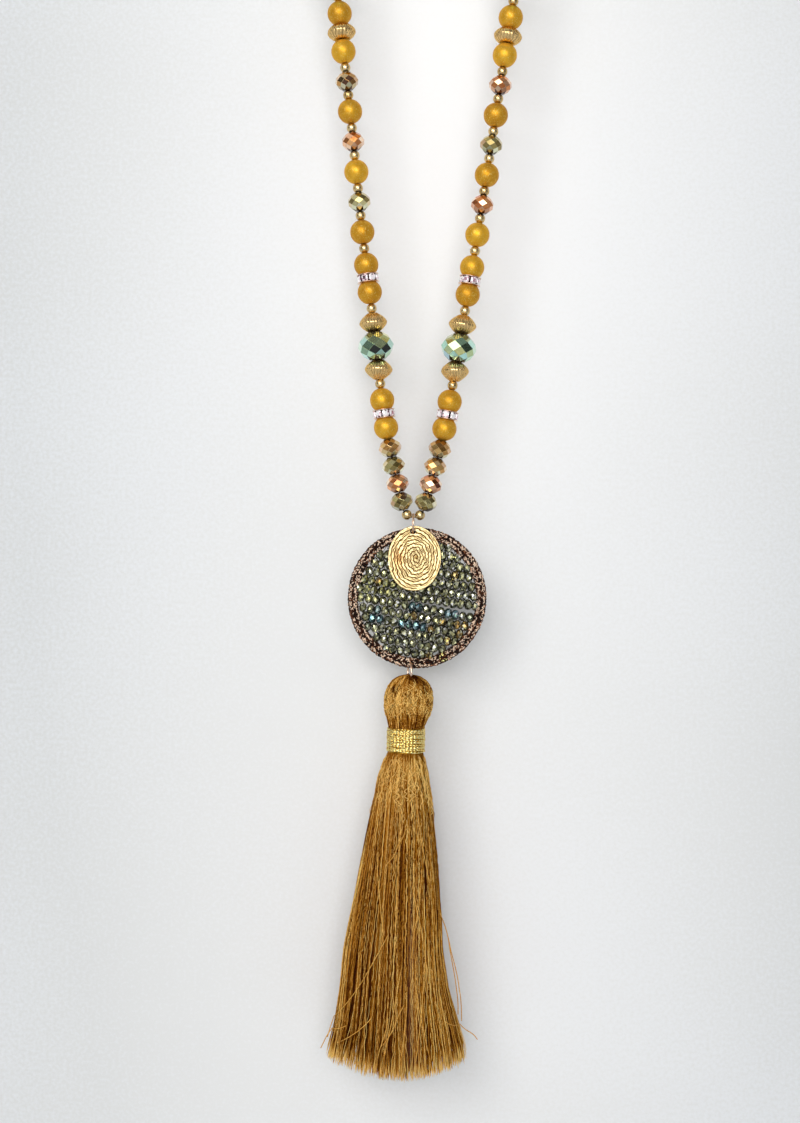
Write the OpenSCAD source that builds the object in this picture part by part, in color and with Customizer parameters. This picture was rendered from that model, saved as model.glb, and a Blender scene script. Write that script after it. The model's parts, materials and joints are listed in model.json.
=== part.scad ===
// Long bead necklace with a beaded hoop pendant, an oval charm and a silk tassel.
// The loop hangs in the XZ plane. The origin lies under the middle bead of its top,
// where a neck or a rail carries it. X points right, Y to the back, Z up. Millimetres.

/* [Beads] */
// Diameter of a painted round bead
round_d = 8; // [7:0.5:9]
// Diameter of the flat round the hole of a round bead
round_flat_d = 2.2; // [1.8:0.1:2.6]
// Diameter of a small gold spacer bead
spacer_d = 3.3; // [2.8:0.1:3.5]
// Diameter of the flat round the hole of a spacer bead
spacer_flat_d = 1.4; // [1.3:0.1:1.6]
// Diameter of a faceted crystal
crystal_d = 7.8; // [6.8:0.1:7.9]
// Length of a faceted crystal along its hole
crystal_len = 5.9; // [5:0.1:7]
// Diameter of a large green crystal
green_d = 11.9; // [10:0.1:13]
// Length of a large green crystal along its hole
green_len = 9; // [8:0.5:10]
// Diameter of a fluted bicone bead
bicone_d = 9.3; // [8:0.1:11]
// Length of a fluted bicone bead along its hole
bicone_len = 6.3; // [5:0.1:8]
// Diameter of a fluted saucer bead
saucer_d = 9.5; // [8:0.1:11]
// Length of a fluted saucer bead along its hole
saucer_len = 4.7; // [4:0.1:5]
// Diameter of the end flats of a bicone bead
bicone_end_d = 3.2; // [2.6:0.1:4]
// Diameter of the end flats of a saucer bead
saucer_end_d = 5.6; // [4:0.1:6.4]
// Diameter of the hole drilled through every bead
hole_d = 1.2; // [1:0.1:1.25]
// Clearance between neighbouring beads
bead_gap = 0.12; // [0.1:0.01:0.2]

/* [Rhinestone rondelles] */
// Outer diameter of a rhinestone rondelle
rondelle_d = 7.3; // [7:0.1:8]
// Height of a rondelle over its two flanges
rondelle_h = 2.8; // [2.6:0.1:3.2]
// Thickness of the web between two round beads
rondelle_web = 1.2; // [1.1:0.1:1.4]
// Thickness of each flange
flange_t = 0.4; // [0.3:0.05:0.45]
// Number of stones round a rondelle
stone_count = 8; // [6:1:8]
// Clearance round a stone in its setting
stone_gap = 0.12; // [0.1:0.01:0.15]

/* [Loop] */
// Repeats of spacer, round, spacer and crystal on each half of the back
back_units = 11; // [8:1:14]
// Diameter of the stringing thread
thread_d = 0.5; // [0.3:0.05:0.6]

/* [Jump rings] */
// Outer diameter of a jump ring
ring_d = 7.2; // [6.8:0.1:7.6]
// Diameter of the ring wire
ring_wire_d = 0.75; // [0.6:0.05:0.8]
// Clearance round the wire where it passes through a piece
ring_gap = 0.45; // [0.35:0.05:0.5]
// Turn of the lower ring about the vertical, in degrees
lower_ring_turn = 10; // [0:1:12]

/* [Hoop pendant] */
// Outer diameter of the wrapped hoop
hoop_d = 46; // [42:0.5:52]
// Width of the wrapped band, measured along a radius
hoop_band = 3.4; // [3.2:0.1:4.4]
// Thickness of the wrapped band, front to back
hoop_t = 2.8; // [2.4:0.1:3]
// Sideways distance of the hoop's centre from the line of the jump rings
hoop_shift = 1.9; // [0:0.1:4]
// Diameter of the beads in a row
row_bead_d = 2.7; // [2.2:0.05:3.2]
// Least space between neighbouring rows
row_space = 0.25; // [0.15:0.05:0.5]
// Room over the first row and under the last
row_margin = 0.4; // [0.4:0.1:1.5]
// Fall of the rows to the right, in degrees
row_tilt = 8.5; // [0:0.5:15]
// Clearance between a row's end and the hoop
row_gap = 0.15; // [0.1:0.05:0.3]

/* [Charm] */
// Width of the oval charm
charm_w = 17.6; // [14:0.1:20]
// Height of the oval charm
charm_h = 21.7; // [18:0.1:26]
// Thickness of the charm
charm_t = 0.7; // [0.5:0.05:0.8]
// Diameter of the charm's hole
charm_hole_d = 2.1; // [2:0.1:2.4]
// Metal between the hole and the charm's top edge
charm_edge = 0.8; // [0.4:0.05:1]
// Sideways distance of the charm's centre from its hole
charm_shift = 0.7; // [0:0.1:1]
// Height of the raised spiral
relief_h = 0.25; // [0.15:0.05:0.4]
// Turns of the raised spiral
relief_turns = 7; // [5:1:8]
// Distance from the charm's back to the hoop
charm_gap = 0.35; // [0.3:0.05:0.6]

/* [Tassel] */
// Widest diameter of the tassel's head
head_w = 15.6; // [13:0.1:18]
// Height of the head above the binding
head_h = 17.5; // [14:0.5:20]
// Diameter of the neck under the binding
neck_d = 11.2; // [10:0.1:12]
// Sideways distance of the neck from the line of the jump rings, to the left
neck_shift = 0.7; // [0:0.1:1.2]
// Height of the bound neck
bind_h = 8.3; // [6:0.1:10]
// Diameter of the metallic binding thread
bind_thread_d = 0.6; // [0.4:0.05:0.8]
// Turns of binding thread that show
bind_turns = 12; // [8:1:13]
// Clearance between the binding and the neck
bind_gap = 0.15; // [0.1:0.05:0.3]
// Length of the skirt below the binding
skirt_len = 104; // [90:1:130]
// Width of the skirt at its hem
skirt_w = 45; // [40:1:56]
// Depth of the skirt's hem as a share of its width
skirt_depth = 0.72; // [0.6:0.02:1]
// Number of locks round the tassel
lock_count = 22; // [16:1:26]
// Cover of silk over the lower ring's wire
silk_cover = 1.9; // [0.7:0.1:2]

/* [Hidden] */
$fn = 48;

// Route of the right half of the string, as x and height above the thread in the top ring.
ROUTE = [
    [0, 0], [1.51, -0.57], [2.62, 0.31], [3.13, 1.58], [4.24, 5.59], [5.6, 11.1], [7.0, 17.0],
    [8.3, 22.8], [9.7, 29.0], [11.2, 38.3], [13.7, 56.0], [16.2, 73.8], [19.0, 93.2],
    [24.1, 133.2], [28.4, 166.3]
];
ROUTE_STEPS = 6;
ARCH_STEPS = 40;

// Beads on each half from the top ring up to the first hidden crystal:
// kind, colour on the left string, colour on the right string.
FRONT = [
    ["spacer", "gold", "gold"],
    ["crystal", "olive", "olive"],
    ["crystal", "copper", "copper"],
    ["crystal", "olive", "bronze"],
    ["crystal", "bronze", "bronze"],
    ["round", "mustard", "mustard"],
    ["rondelle", "rose", "rose"],
    ["round", "mustard", "mustard"],
    ["spacer", "gold", "gold"],
    ["bicone", "gold", "gold"],
    ["green", "green", "green"],
    ["bicone", "gold", "gold"],
    ["spacer", "gold", "gold"],
    ["round", "mustard", "mustard"],
    ["rondelle", "rose", "rose"],
    ["round", "mustard", "mustard"],
    ["spacer", "gold", "gold"],
    ["round", "mustard", "mustard"],
    ["spacer", "gold", "gold"],
    ["crystal", "olive", "copper"],
    ["spacer", "gold", "gold"],
    ["round", "mustard", "mustard"],
    ["spacer", "gold", "gold"],
    ["crystal", "copper", "olive"],
    ["spacer", "gold", "gold"],
    ["round", "mustard", "mustard"],
    ["spacer", "gold", "gold"],
    ["crystal", "bronze", "copper"],
    ["spacer", "gold", "gold"],
    ["round", "mustard", "mustard"],
    ["saucer", "gold", "gold"],
    ["round", "mustard", "mustard"],
    ["spacer", "gold", "gold"],
    ["green", "green", "green"],
];
BACK_UNIT = [
    ["spacer", "gold", "gold"],
    ["round", "mustard", "mustard"],
    ["spacer", "gold", "gold"],
    ["crystal", "bronze", "bronze"],
];
LAST_BEAD = [["spacer", "gold", "gold"]];
HALF = concat(FRONT, [for (unit = [1:back_units]) each BACK_UNIT], LAST_BEAD);
FRONT_COUNT = len(FRONT);

// Shades that the beads are drawn in.
SHADES = [
    ["mustard", "#c88a1e"], ["gold", "#c9a45c"], ["rose", "#d9a58c"], ["olive", "#8f8a5c"],
    ["copper", "#c07a4a"], ["bronze", "#a58a58"], ["green", "#4f8f7c"],
];
function shade(name) = [for (s = SHADES) if (s[0] == name) s[1]][0];

// Lengths along the string.
round_len = sqrt(pow(round_d, 2) - pow(round_flat_d, 2));
spacer_len = sqrt(pow(spacer_d, 2) - pow(spacer_flat_d, 2));
function bead_len(kind) =
    kind == "round" ? round_len :
    kind == "spacer" ? spacer_len :
    kind == "crystal" ? crystal_len :
    kind == "green" ? green_len :
    kind == "bicone" ? bicone_len :
    kind == "saucer" ? saucer_len :
    rondelle_web;

// The first bead starts clear of the ring's wire. Each next one starts a gap after the last, and the
// gaps are wider at the foot, where the thread bends most.
first_start = spacer_d / 2 + ring_wire_d / 2 - 0.69;
FOOT_GAPS = [0.57, 0.18];
function gap_after(i) = i < len(FOOT_GAPS) ? FOOT_GAPS[i] : bead_gap;
STARTS = [
    for (i = 0, s = first_start; i < len(HALF); s = s + bead_len(HALF[i][0]) + gap_after(i), i = i + 1) s
];
last_end = STARTS[len(HALF) - 1] + bead_len(HALF[len(HALF) - 1][0]);
half_len = last_end + bead_gap + round_len / 2;

// The route is smoothed through its chosen points, runs straight on, and closes in a round arch.
function smooth(p0, p1, p2, p3, t) =
    0.5 * (2 * p1 + (p2 - p0) * t + (2 * p0 - 5 * p1 + 4 * p2 - p3) * t * t
        + (3 * p1 - p0 - 3 * p2 + p3) * t * t * t);
last_point = len(ROUTE) - 1;
function route_point(i) =
    i < 0 ? [-ROUTE[-i][0], ROUTE[-i][1]] :
    i > last_point ? 2 * ROUTE[last_point] - ROUTE[last_point - 1] :
    ROUTE[i];
LOWER = [
    for (i = [0:last_point - 1], k = [0:ROUTE_STEPS - 1])
        smooth(route_point(i - 1), ROUTE[i], ROUTE[i + 1], route_point(i + 2), k / ROUTE_STEPS),
    ROUTE[last_point]
];
function run_length(points) =
    [for (i = 0, s = 0; i < len(points);
        s = s + (i + 1 < len(points) ? norm(points[i + 1] - points[i]) : 0), i = i + 1) s];
lower_len = run_length(LOWER)[len(LOWER) - 1];
last_run = ROUTE[last_point] - ROUTE[last_point - 1];
lean = atan2(last_run[0], last_run[1]);
arch_turn = (90 + lean) * PI / 180;
rise = (half_len - lower_len - ROUTE[last_point][0] / cos(lean) * arch_turn)
    / (1 + tan(lean) * arch_turn);
arch_r = (ROUTE[last_point][0] + rise * sin(lean)) / cos(lean);
arch_z = ROUTE[last_point][1] + rise * cos(lean) + arch_r * sin(lean);
UPPER = [
    for (k = [0:ARCH_STEPS])
        let (a = -lean + (90 + lean) * k / ARCH_STEPS)
        [arch_r * cos(a), arch_z + arch_r * sin(a)]
];
PATH = concat(LOWER, UPPER);
RUN = run_length(PATH);
PATH_X = [for (i = [0:len(PATH) - 1]) [RUN[i], PATH[i][0]]];
PATH_Z = [for (i = [0:len(PATH) - 1]) [RUN[i], PATH[i][1]]];

// Height of the thread in the top ring, with the underside of the middle bead at zero.
thread_z = round_d / 2 - (arch_z + arch_r);
function string_at(s) = [lookup(s, PATH_X), 0, thread_z + lookup(s, PATH_Z)];
function mirrored(p, side) = [side * p[0], p[1], p[2]];

// Jump rings lie in the YZ plane, and swing on what they pass through.
ring_r = (ring_d - ring_wire_d) / 2;
ring_seat = 0.12;
top_ring_z = thread_z + thread_d / 2 + ring_seat + ring_wire_d / 2 - ring_r;
hoop_r = hoop_d / 2;
hoop_mid_r = hoop_r - hoop_band / 2;
hoop_hole_d = ring_wire_d + 2 * ring_gap;
ring_drop = sqrt(pow(hoop_mid_r, 2) - pow(hoop_shift, 2));
hoop_z = top_ring_z - ring_r - ring_drop;
lower_ring_z = hoop_z - ring_drop - ring_r;

// The charm hangs on the top ring in front of the hoop.
charm_y = -(hoop_t / 2 + charm_gap + charm_t / 2);
charm_hole_z = top_ring_z - sqrt(pow(ring_r, 2) - pow(charm_y, 2));
charm_z = charm_hole_z + charm_hole_d / 2 + charm_edge - charm_h / 2;

// The tassel hangs on the lower ring.
head_z = lower_ring_z - ring_r + ring_wire_d / 2 + silk_cover;
bind_top_z = head_z - head_h;
skirt_z = bind_top_z - bind_h;

// Cut of the crystals: number of sides, and the levels of the facet corners as shares of half the length.
CRYSTAL_SIDES = 8;
CRYSTAL_LEVELS = [0, 0.36, 0.68, 1];
GREEN_SIDES = 8;
GREEN_LEVELS = [0, 0.385, 0.7, 1];
CRYSTAL_SPIN = 32;

// Flutes: section shares of half the length and of the radius, and the depth of a groove.
FLUTES = 20;
FLUTE_DEPTH = 0.1;
BICONE_SECTION = [[0.66, 0.66], [0.42, 0.84], [0.16, 0.97]];
SAUCER_SECTION = [[0.6, 0.84], [0.2, 0.97]];

// Sections of the head: share of its height from its top, share of its full width there,
// depth as a share of the width, and depth of the grooves between locks.
HEAD_SECTIONS = [
    [0.035, 0.40, 0.92, 0.03],
    [0.11, 0.68, 0.92, 0.04],
    [0.20, 0.85, 0.92, 0.05],
    [0.36, 0.98, 0.92, 0.05],
    [0.54, 1.00, 0.92, 0.05],
    [0.74, 0.93, 0.94, 0.05],
    [0.90, 0.80, 0.97, 0.04],
];
// Sections of the skirt: share of its length, share of its full width there, depth of the grooves
// between locks, and sideways shift as a share of its full width, as it leans to the left.
SKIRT_SECTIONS = [
    [0.05, 0.335, 0.05, -0.025],
    [0.15, 0.430, 0.06, -0.030],
    [0.29, 0.530, 0.07, -0.038],
    [0.48, 0.645, 0.08, -0.052],
    [0.66, 0.750, 0.10, -0.072],
    [0.79, 0.830, 0.11, -0.056],
    [0.90, 0.935, 0.13, -0.031],
    [1.00, 1.000, 0.16, -0.024],
];
LOCK_POINTS = 4;
HEM_RISE = 0.035;
LOCK_TIP = 0.018;
LOCK_SWAY = 0.35;
HOLLOW = [[0.55, 0.90], [0.2, 0.86]];

module place(i, side) {
    a = mirrored(string_at(STARTS[i]), side);
    b = mirrored(string_at(STARTS[i] + bead_len(HALF[i][0])), side);
    translate((a + b) / 2) rotate([0, atan2(b[0] - a[0], b[2] - a[2]), 0]) children();
}

module drilled(d = hole_d, reach = 30) {
    difference() {
        children();
        cylinder(h = reach, d = d, center = true);
    }
}

// Round bead with a flat at each end of its hole.
module ball_bead(d, len) {
    drilled() intersection() {
        sphere(d = d);
        cube([2 * d, 2 * d, len], center = true);
    }
}

// Corners of a cut bead. Each ring lies in the planes of the facets below it, so every facet is flat.
function cut_radii(levels, sides, radii) =
    len(radii) == len(levels) ? radii :
    let (k = len(radii), c = cos(180 / sides), a = radii[k - 2], b = radii[k - 1])
    cut_radii(levels, sides, concat(radii,
        [a - (a - b * c) * (levels[k] - levels[k - 2]) / (levels[k - 1] - levels[k - 2])]));
function ring_of(r, z, count, turn) =
    [for (i = [0:count - 1]) let (a = 360 * (i + turn) / count) [r * cos(a), r * sin(a), z]];

module cut_bead(d, len, sides, levels) {
    half = len(levels) - 1;
    radii = cut_radii(levels, sides, [d / 2, d / 2 * cos(180 / sides)]);
    rings = [
        for (k = [-half:half])
            ring_of(radii[abs(k)], sign(k) * levels[abs(k)] * len / 2, sides, abs(k) % 2 / 2)
    ];
    points = [for (ring = rings) each ring];
    // Corner i of the ring at level k, counted from the girdle.
    function at(k, i) = (k + half) * sides + (i % sides + sides) % sides;
    function shift(k) = abs(k) % 2;
    faces = [
        for (i = [0:sides - 1]) each
            let (s = shift(half))
            [
                [at(half, i), at(half - 1, i + s), at(half, i + 1)],
                [at(-half, i), at(-half, i + 1), at(-half + 1, i + s)],
            ],
        for (k = [-half + 1:half - 1], i = [0:sides - 1])
            let (s = shift(k))
            [at(k, i), at(k + 1, i + s), at(k, i + 1), at(k - 1, i + s)],
        [for (i = [sides - 1:-1:0]) at(half, i)],
        [for (i = [0:sides - 1]) at(-half, i)],
    ];
    drilled() polyhedron(points, faces, convexity = 2);
}

// Fluted bead: a double cone whose ridges and grooves run from end to end.
module fluted_bead(d, len, end_d, section) {
    upper = concat([[1, end_d / d]], section);
    lower = [for (k = [len(upper) - 1:-1:0]) [-upper[k][0], upper[k][1]]];
    rows = concat(upper, [[0, 1]], lower);
    count = 2 * FLUTES;
    // The grooves run out at the flat ends.
    function radius(row, i) =
        d / 2 * row[1] * (1 - (i % 2) * FLUTE_DEPTH * (abs(row[0]) < 1 ? 1 : 0.5));
    points = [
        for (row = rows, i = [0:count - 1])
            let (a = 360 * i / count)
            [radius(row, i) * cos(a), radius(row, i) * sin(a), row[0] * len / 2]
    ];
    last = len(rows) - 1;
    faces = [
        for (k = [0:last - 1], i = [0:count - 1]) each
            let (j = (i + 1) % count, a = k * count, b = a + count)
            [[a + i, a + j, b + j], [a + i, b + j, b + i]],
        [for (i = [count - 1:-1:0]) i],
        [for (i = [0:count - 1]) last * count + i],
    ];
    drilled() polyhedron(points, faces, convexity = 2);
}

// Metal spool of a rhinestone rondelle, dished for the round beads on both sides.
channel_h = rondelle_h - 2 * flange_t;
stone_d = channel_h - 2 * stone_gap;
stone_depth = 0.85;
stone_top = rondelle_d / 2 - 0.1;
channel_r = stone_top - stone_depth - stone_gap;
module rondelle_setting() {
    drilled() difference() {
        rotate_extrude() polygon([
            [0, -rondelle_h / 2], [rondelle_d / 2, -rondelle_h / 2],
            [rondelle_d / 2, -channel_h / 2], [channel_r, -channel_h / 2],
            [channel_r, channel_h / 2], [rondelle_d / 2, channel_h / 2],
            [rondelle_d / 2, rondelle_h / 2], [0, rondelle_h / 2],
        ]);
        for (end = [-1, 1])
            translate([0, 0, end * (rondelle_web / 2 + bead_gap + round_len / 2)])
                sphere(d = round_d + 2 * bead_gap);
    }
}

// Cut stone, table outwards along +X, with its point towards the bead's axis.
STONE_SIDES = 8;
module stone() {
    table = ring_of(stone_d * 0.29, stone_top, STONE_SIDES, 0.5);
    girdle = ring_of(stone_d / 2 / cos(180 / STONE_SIDES) * 0.96, stone_top - stone_depth * 0.35, STONE_SIDES, 0.5);
    points = concat(table, girdle, [[0, 0, stone_top - stone_depth]]);
    faces = [
        [for (i = [STONE_SIDES - 1:-1:0]) i],
        for (i = [0:STONE_SIDES - 1]) each
            let (j = (i + 1) % STONE_SIDES, n = STONE_SIDES)
            [[i, j, n + j, n + i], [n + i, n + j, 2 * n]],
    ];
    rotate([0, 90, 0]) polyhedron(points, faces, convexity = 2);
}

module rondelle() {
    color(shade("rose")) rondelle_setting();
    color("white") for (i = [0:stone_count - 1]) rotate(360 * (i + 0.5) / stone_count) stone();
}

// Any bead of the string, with its hole along Z.
module bead(kind, name) {
    if (kind == "round") color(shade(name)) ball_bead(round_d, round_len);
    if (kind == "spacer") color(shade(name)) ball_bead(spacer_d, spacer_len);
    if (kind == "crystal") color(shade(name)) cut_bead(crystal_d, crystal_len, CRYSTAL_SIDES, CRYSTAL_LEVELS);
    if (kind == "green") color(shade(name)) cut_bead(green_d, green_len, GREEN_SIDES, GREEN_LEVELS);
    if (kind == "bicone") color(shade(name)) fluted_bead(bicone_d, bicone_len, bicone_end_d, BICONE_SECTION);
    if (kind == "saucer") color(shade(name)) fluted_bead(saucer_d, saucer_len, saucer_end_d, SAUCER_SECTION);
    if (kind == "rondelle") rondelle();
}
module bead_on_string(i, side) {
    place(i, side) rotate(i * CRYSTAL_SPIN * side) bead(HALF[i][0], HALF[i][side < 0 ? 1 : 2]);
}

// All beads of one kind, from bead number first on, on both halves of the string.
module all_of(kind, first = 0) {
    for (side = [-1, 1], i = [first:len(HALF) - 1])
        if (HALF[i][0] == kind) bead_on_string(i, side);
}
module round_beads() {
    all_of("round");
    translate([0, 0, round_d / 2]) rotate([0, 90, 0]) bead("round", "mustard");
}
module spacer_beads() { all_of("spacer"); }
module back_crystals() { all_of("crystal", FRONT_COUNT); }

// The thread runs through every bead and the top ring, and is joined end to end.
thread_stops = [
    0, first_start,
    for (i = [1:len(HALF) - 1]) each
        i <= len(FOOT_GAPS) ? [STARTS[i] - gap_after(i - 1), STARTS[i]] : [STARTS[i] - bead_gap / 2],
    last_end + bead_gap / 2
];
stop_count = len(thread_stops);
THREAD_LINE = concat(
    [for (s = thread_stops) string_at(s)],
    [for (k = [stop_count - 1:-1:1]) mirrored(string_at(thread_stops[k]), -1)]
);
THREAD_SIDES = 6;
module thread() {
    count = len(THREAD_LINE);
    function along(k) = THREAD_LINE[(k + 1) % count] - THREAD_LINE[(k + count - 1) % count];
    points = [
        for (k = [0:count - 1], i = [0:THREAD_SIDES - 1])
            let (t = along(k) / norm(along(k)), out = [t[2], 0, -t[0]], a = 360 * i / THREAD_SIDES)
            THREAD_LINE[k] + thread_d / 2 * (out * cos(a) + [0, 1, 0] * sin(a))
    ];
    faces = [
        for (k = [0:count - 1], i = [0:THREAD_SIDES - 1]) each
            let (j = (i + 1) % THREAD_SIDES, a = k * THREAD_SIDES, b = (k + 1) % count * THREAD_SIDES)
            [[a + i, b + j, a + j], [a + i, b + i, b + j]],
    ];
    color("tan") polyhedron(points, faces, convexity = 4);
}

module jump_ring(z, wire_d = ring_wire_d) {
    translate([0, 0, z]) rotate([0, 90, 0]) rotate_extrude() translate([ring_r, 0]) circle(d = wire_d);
}
module top_ring() { color(shade("rose")) jump_ring(top_ring_z); }
module lower_ring() { color(shade("rose")) rotate(lower_ring_turn) jump_ring(lower_ring_z); }

// Hoop wrapped in metallic thread, pierced where the two rings pass through its band.
HOOP_SIDES = 16;
module hoop() {
    section = [
        for (i = [0:HOOP_SIDES - 1])
            let (a = 360 * (i + 0.5) / HOOP_SIDES)
            [hoop_mid_r + hoop_band / 2 * cos(a), hoop_t / 2 * sin(a)]
    ];
    color("#6e4632") difference() {
        translate([hoop_shift, 0, hoop_z]) rotate([90, 0, 0]) rotate_extrude() polygon(section);
        for (hole = [[hoop_z + ring_drop, 0], [hoop_z - ring_drop, lower_ring_turn]])
            translate([0, 0, hole[0]]) rotate([90, 0, hole[1]])
                cylinder(h = 2 * hoop_t, d = hoop_hole_d, center = true);
    }
}

// Rows of small beads strung across the hoop, each row one plain rod as long as the opening there.
rows_h = 2 * (hoop_r - hoop_band - row_margin);
row_count = floor(rows_h / (row_bead_d + row_space));
row_pitch = rows_h / row_count;
module bead_rows() {
    inner_r = hoop_r - hoop_band - row_gap;
    color("#4c5a44") translate([hoop_shift, 0, hoop_z]) rotate([0, row_tilt, 0])
        for (k = [0:row_count - 1])
            let (
                h = (k - (row_count - 1) / 2) * row_pitch,
                half = sqrt(pow(inner_r, 2) - pow(abs(h) + row_bead_d / 2, 2))
            )
            translate([-half, 0, h]) rotate([0, 90, 0]) cylinder(h = 2 * half, d = row_bead_d);
}

// Oval charm with a raised spiral on its front.
OVAL_POINTS = 48;
RELIEF_STEPS = 24;
relief_margin = 0.6;
relief_line = 0.55;
module charm() {
    function oval(share, a) = [share * charm_w / 2 * cos(a), share * charm_h / 2 * sin(a)];
    reach = 1 - 2 * relief_margin / charm_w;
    line = relief_line / charm_w;
    steps = relief_turns * RELIEF_STEPS;
    function share(k) = reach * (k + RELIEF_STEPS / 2) / (steps + RELIEF_STEPS / 2);
    spiral = concat(
        [for (k = [0:steps]) oval(share(k) + line, 360 * k / RELIEF_STEPS)],
        [for (k = [steps:-1:0]) oval(share(k) - line, 360 * k / RELIEF_STEPS)]
    );
    hole = [-charm_shift, charm_hole_z - charm_z];
    color("#d8ad6a") translate([charm_shift, charm_y, charm_z]) rotate([90, 0, 0]) difference() {
        union() {
            linear_extrude(charm_t, center = true)
                polygon([for (i = [0:OVAL_POINTS - 1]) oval(1, 360 * i / OVAL_POINTS)]);
            difference() {
                linear_extrude(charm_t / 2 + relief_h) polygon(spiral);
                translate(hole) cylinder(h = charm_t + 2 * relief_h, d = charm_hole_d + 1.2);
            }
        }
        translate(hole) cylinder(h = 4 * charm_t, d = charm_hole_d, center = true);
    }
}

// A repeatable spread of values from 0 to 1, one per lock.
function spread(i, salt) = let (v = sin(i * 127.1 + salt * 311.7) * 43.7) v - floor(v);

// Head and skirt of the tassel as one body of locks. A lock has four points on every section.
module tassel_body() {
    count = lock_count * LOCK_POINTS;
    hem_shift = skirt_w * SKIRT_SECTIONS[len(SKIRT_SECTIONS) - 1][3];
    function groove(i) = [1, 0.25, 0, 0.25][i % LOCK_POINTS];
    function lock(i) = floor(i / LOCK_POINTS);
    // Locks lean sideways on their way down, and end at their own heights.
    function turn(i, t) = 360 / count * (i + LOCK_POINTS * LOCK_SWAY * (spread(lock(i), 1) - 0.5) * t * t);
    function hem(i) =
        1 - HEM_RISE * pow(cos(turn(i, 1)), 2) + LOCK_TIP * (1.4 - 2 * groove(i)) * (0.6 + 0.8 * spread(lock(i), 2))
        - LOCK_TIP;
    function section(i, width, depth, cut, z, t, shift = 0) =
        let (a = turn(i, t), r = width / 2 * (1 - cut * groove(i)))
        [shift + r * cos(a), r * depth * sin(a), z];
    rings = concat(
        [for (s = HEAD_SECTIONS)
            [for (i = [0:count - 1])
                section(i, head_w * s[1], s[2], s[3], head_z - head_h * s[0], 0, -neck_shift * pow(s[0], 3))]],
        [for (z = [bind_top_z, skirt_z])
            [for (i = [0:count - 1]) section(i, neck_d, 1, 0.02, z, 0, -neck_shift)]],
        [for (s = SKIRT_SECTIONS)
            [for (i = [0:count - 1])
                section(i, skirt_w * s[1], 1 - (1 - skirt_depth) * s[0], s[2],
                    skirt_z - skirt_len * s[0] * (1 + (hem(i) - 1) * s[0]), s[0], skirt_w * s[3])]],
        [for (s = HOLLOW)
            [for (i = [0:count - 1])
                section(i, skirt_w * s[0], skirt_depth, 0, skirt_z - skirt_len * s[1], 1, hem_shift)]]
    );
    last = len(rings) - 1;
    points = concat([for (ring = rings) each ring],
        [[0, 0, head_z], [hem_shift, 0, skirt_z - skirt_len * HOLLOW[len(HOLLOW) - 1][1]]]);
    top = len(points) - 2;
    faces = [
        for (i = [0:count - 1]) each
            let (j = (i + 1) % count)
            [[top, j, i], [top + 1, last * count + i, last * count + j]],
        for (k = [0:last - 1], i = [0:count - 1]) each
            let (j = (i + 1) % count, a = k * count, b = a + count)
            [[a + i, a + j, b + j], [a + i, b + j, b + i]],
    ];
    polyhedron(points, faces, convexity = 6);
}
module tassel() {
    color("#b5832c") difference() {
        tassel_body();
        rotate(lower_ring_turn) jump_ring(lower_ring_z, ring_wire_d + 2 * bind_gap);
    }
}

// Metallic thread wound round the neck, each turn a ridge.
module binding() {
    inner = neck_d / 2 + bind_gap;
    height = bind_h - 2 * bind_gap;
    pitch = height / bind_turns;
    ridge = [[0, 0.35], [0.25, 0.85], [0.5, 1], [0.75, 0.85]];
    outer = [
        for (k = [0:bind_turns - 1], p = ridge) [inner + bind_thread_d * p[1], pitch * (k + p[0])],
        [inner + bind_thread_d * ridge[0][1], height],
    ];
    color("#d9b65a") translate([-neck_shift, 0, skirt_z + bind_gap])
        rotate_extrude() polygon(concat([[inner, 0]], outer, [[inner, height]]));
}

// Front beads that are nodes of their own, numbered from the pendant up on each side.
MAIN_KINDS = ["crystal", "green", "bicone", "saucer", "rondelle"];
function rank(i) = len([for (j = [0:i]) if (HALF[j][0] == HALF[i][0]) j]);
function main_name(i, side) =
    str(side < 0 ? "left_" : "right_", HALF[i][0] == "green" ? "green_crystal" :
        HALF[i][0] == "rondelle" ? "rhinestone_rondelle" : HALF[i][0], "_", rank(i));
MAIN = [
    for (side = [-1, 1], kind = MAIN_KINDS, i = [0:FRONT_COUNT - 1])
        if (HALF[i][0] == kind) [main_name(i, side), i, side]
];
for (m = MAIN) bead_on_string(m[1], m[2]);
round_beads();
spacer_beads();
back_crystals();
thread();
top_ring();
hoop();
bead_rows();
charm();
lower_ring();
tassel();
binding();
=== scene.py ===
"""Looks of a tassel necklace: painted and metal beads, crystals, a wrapped hoop, a charm and a silk tassel."""

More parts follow.
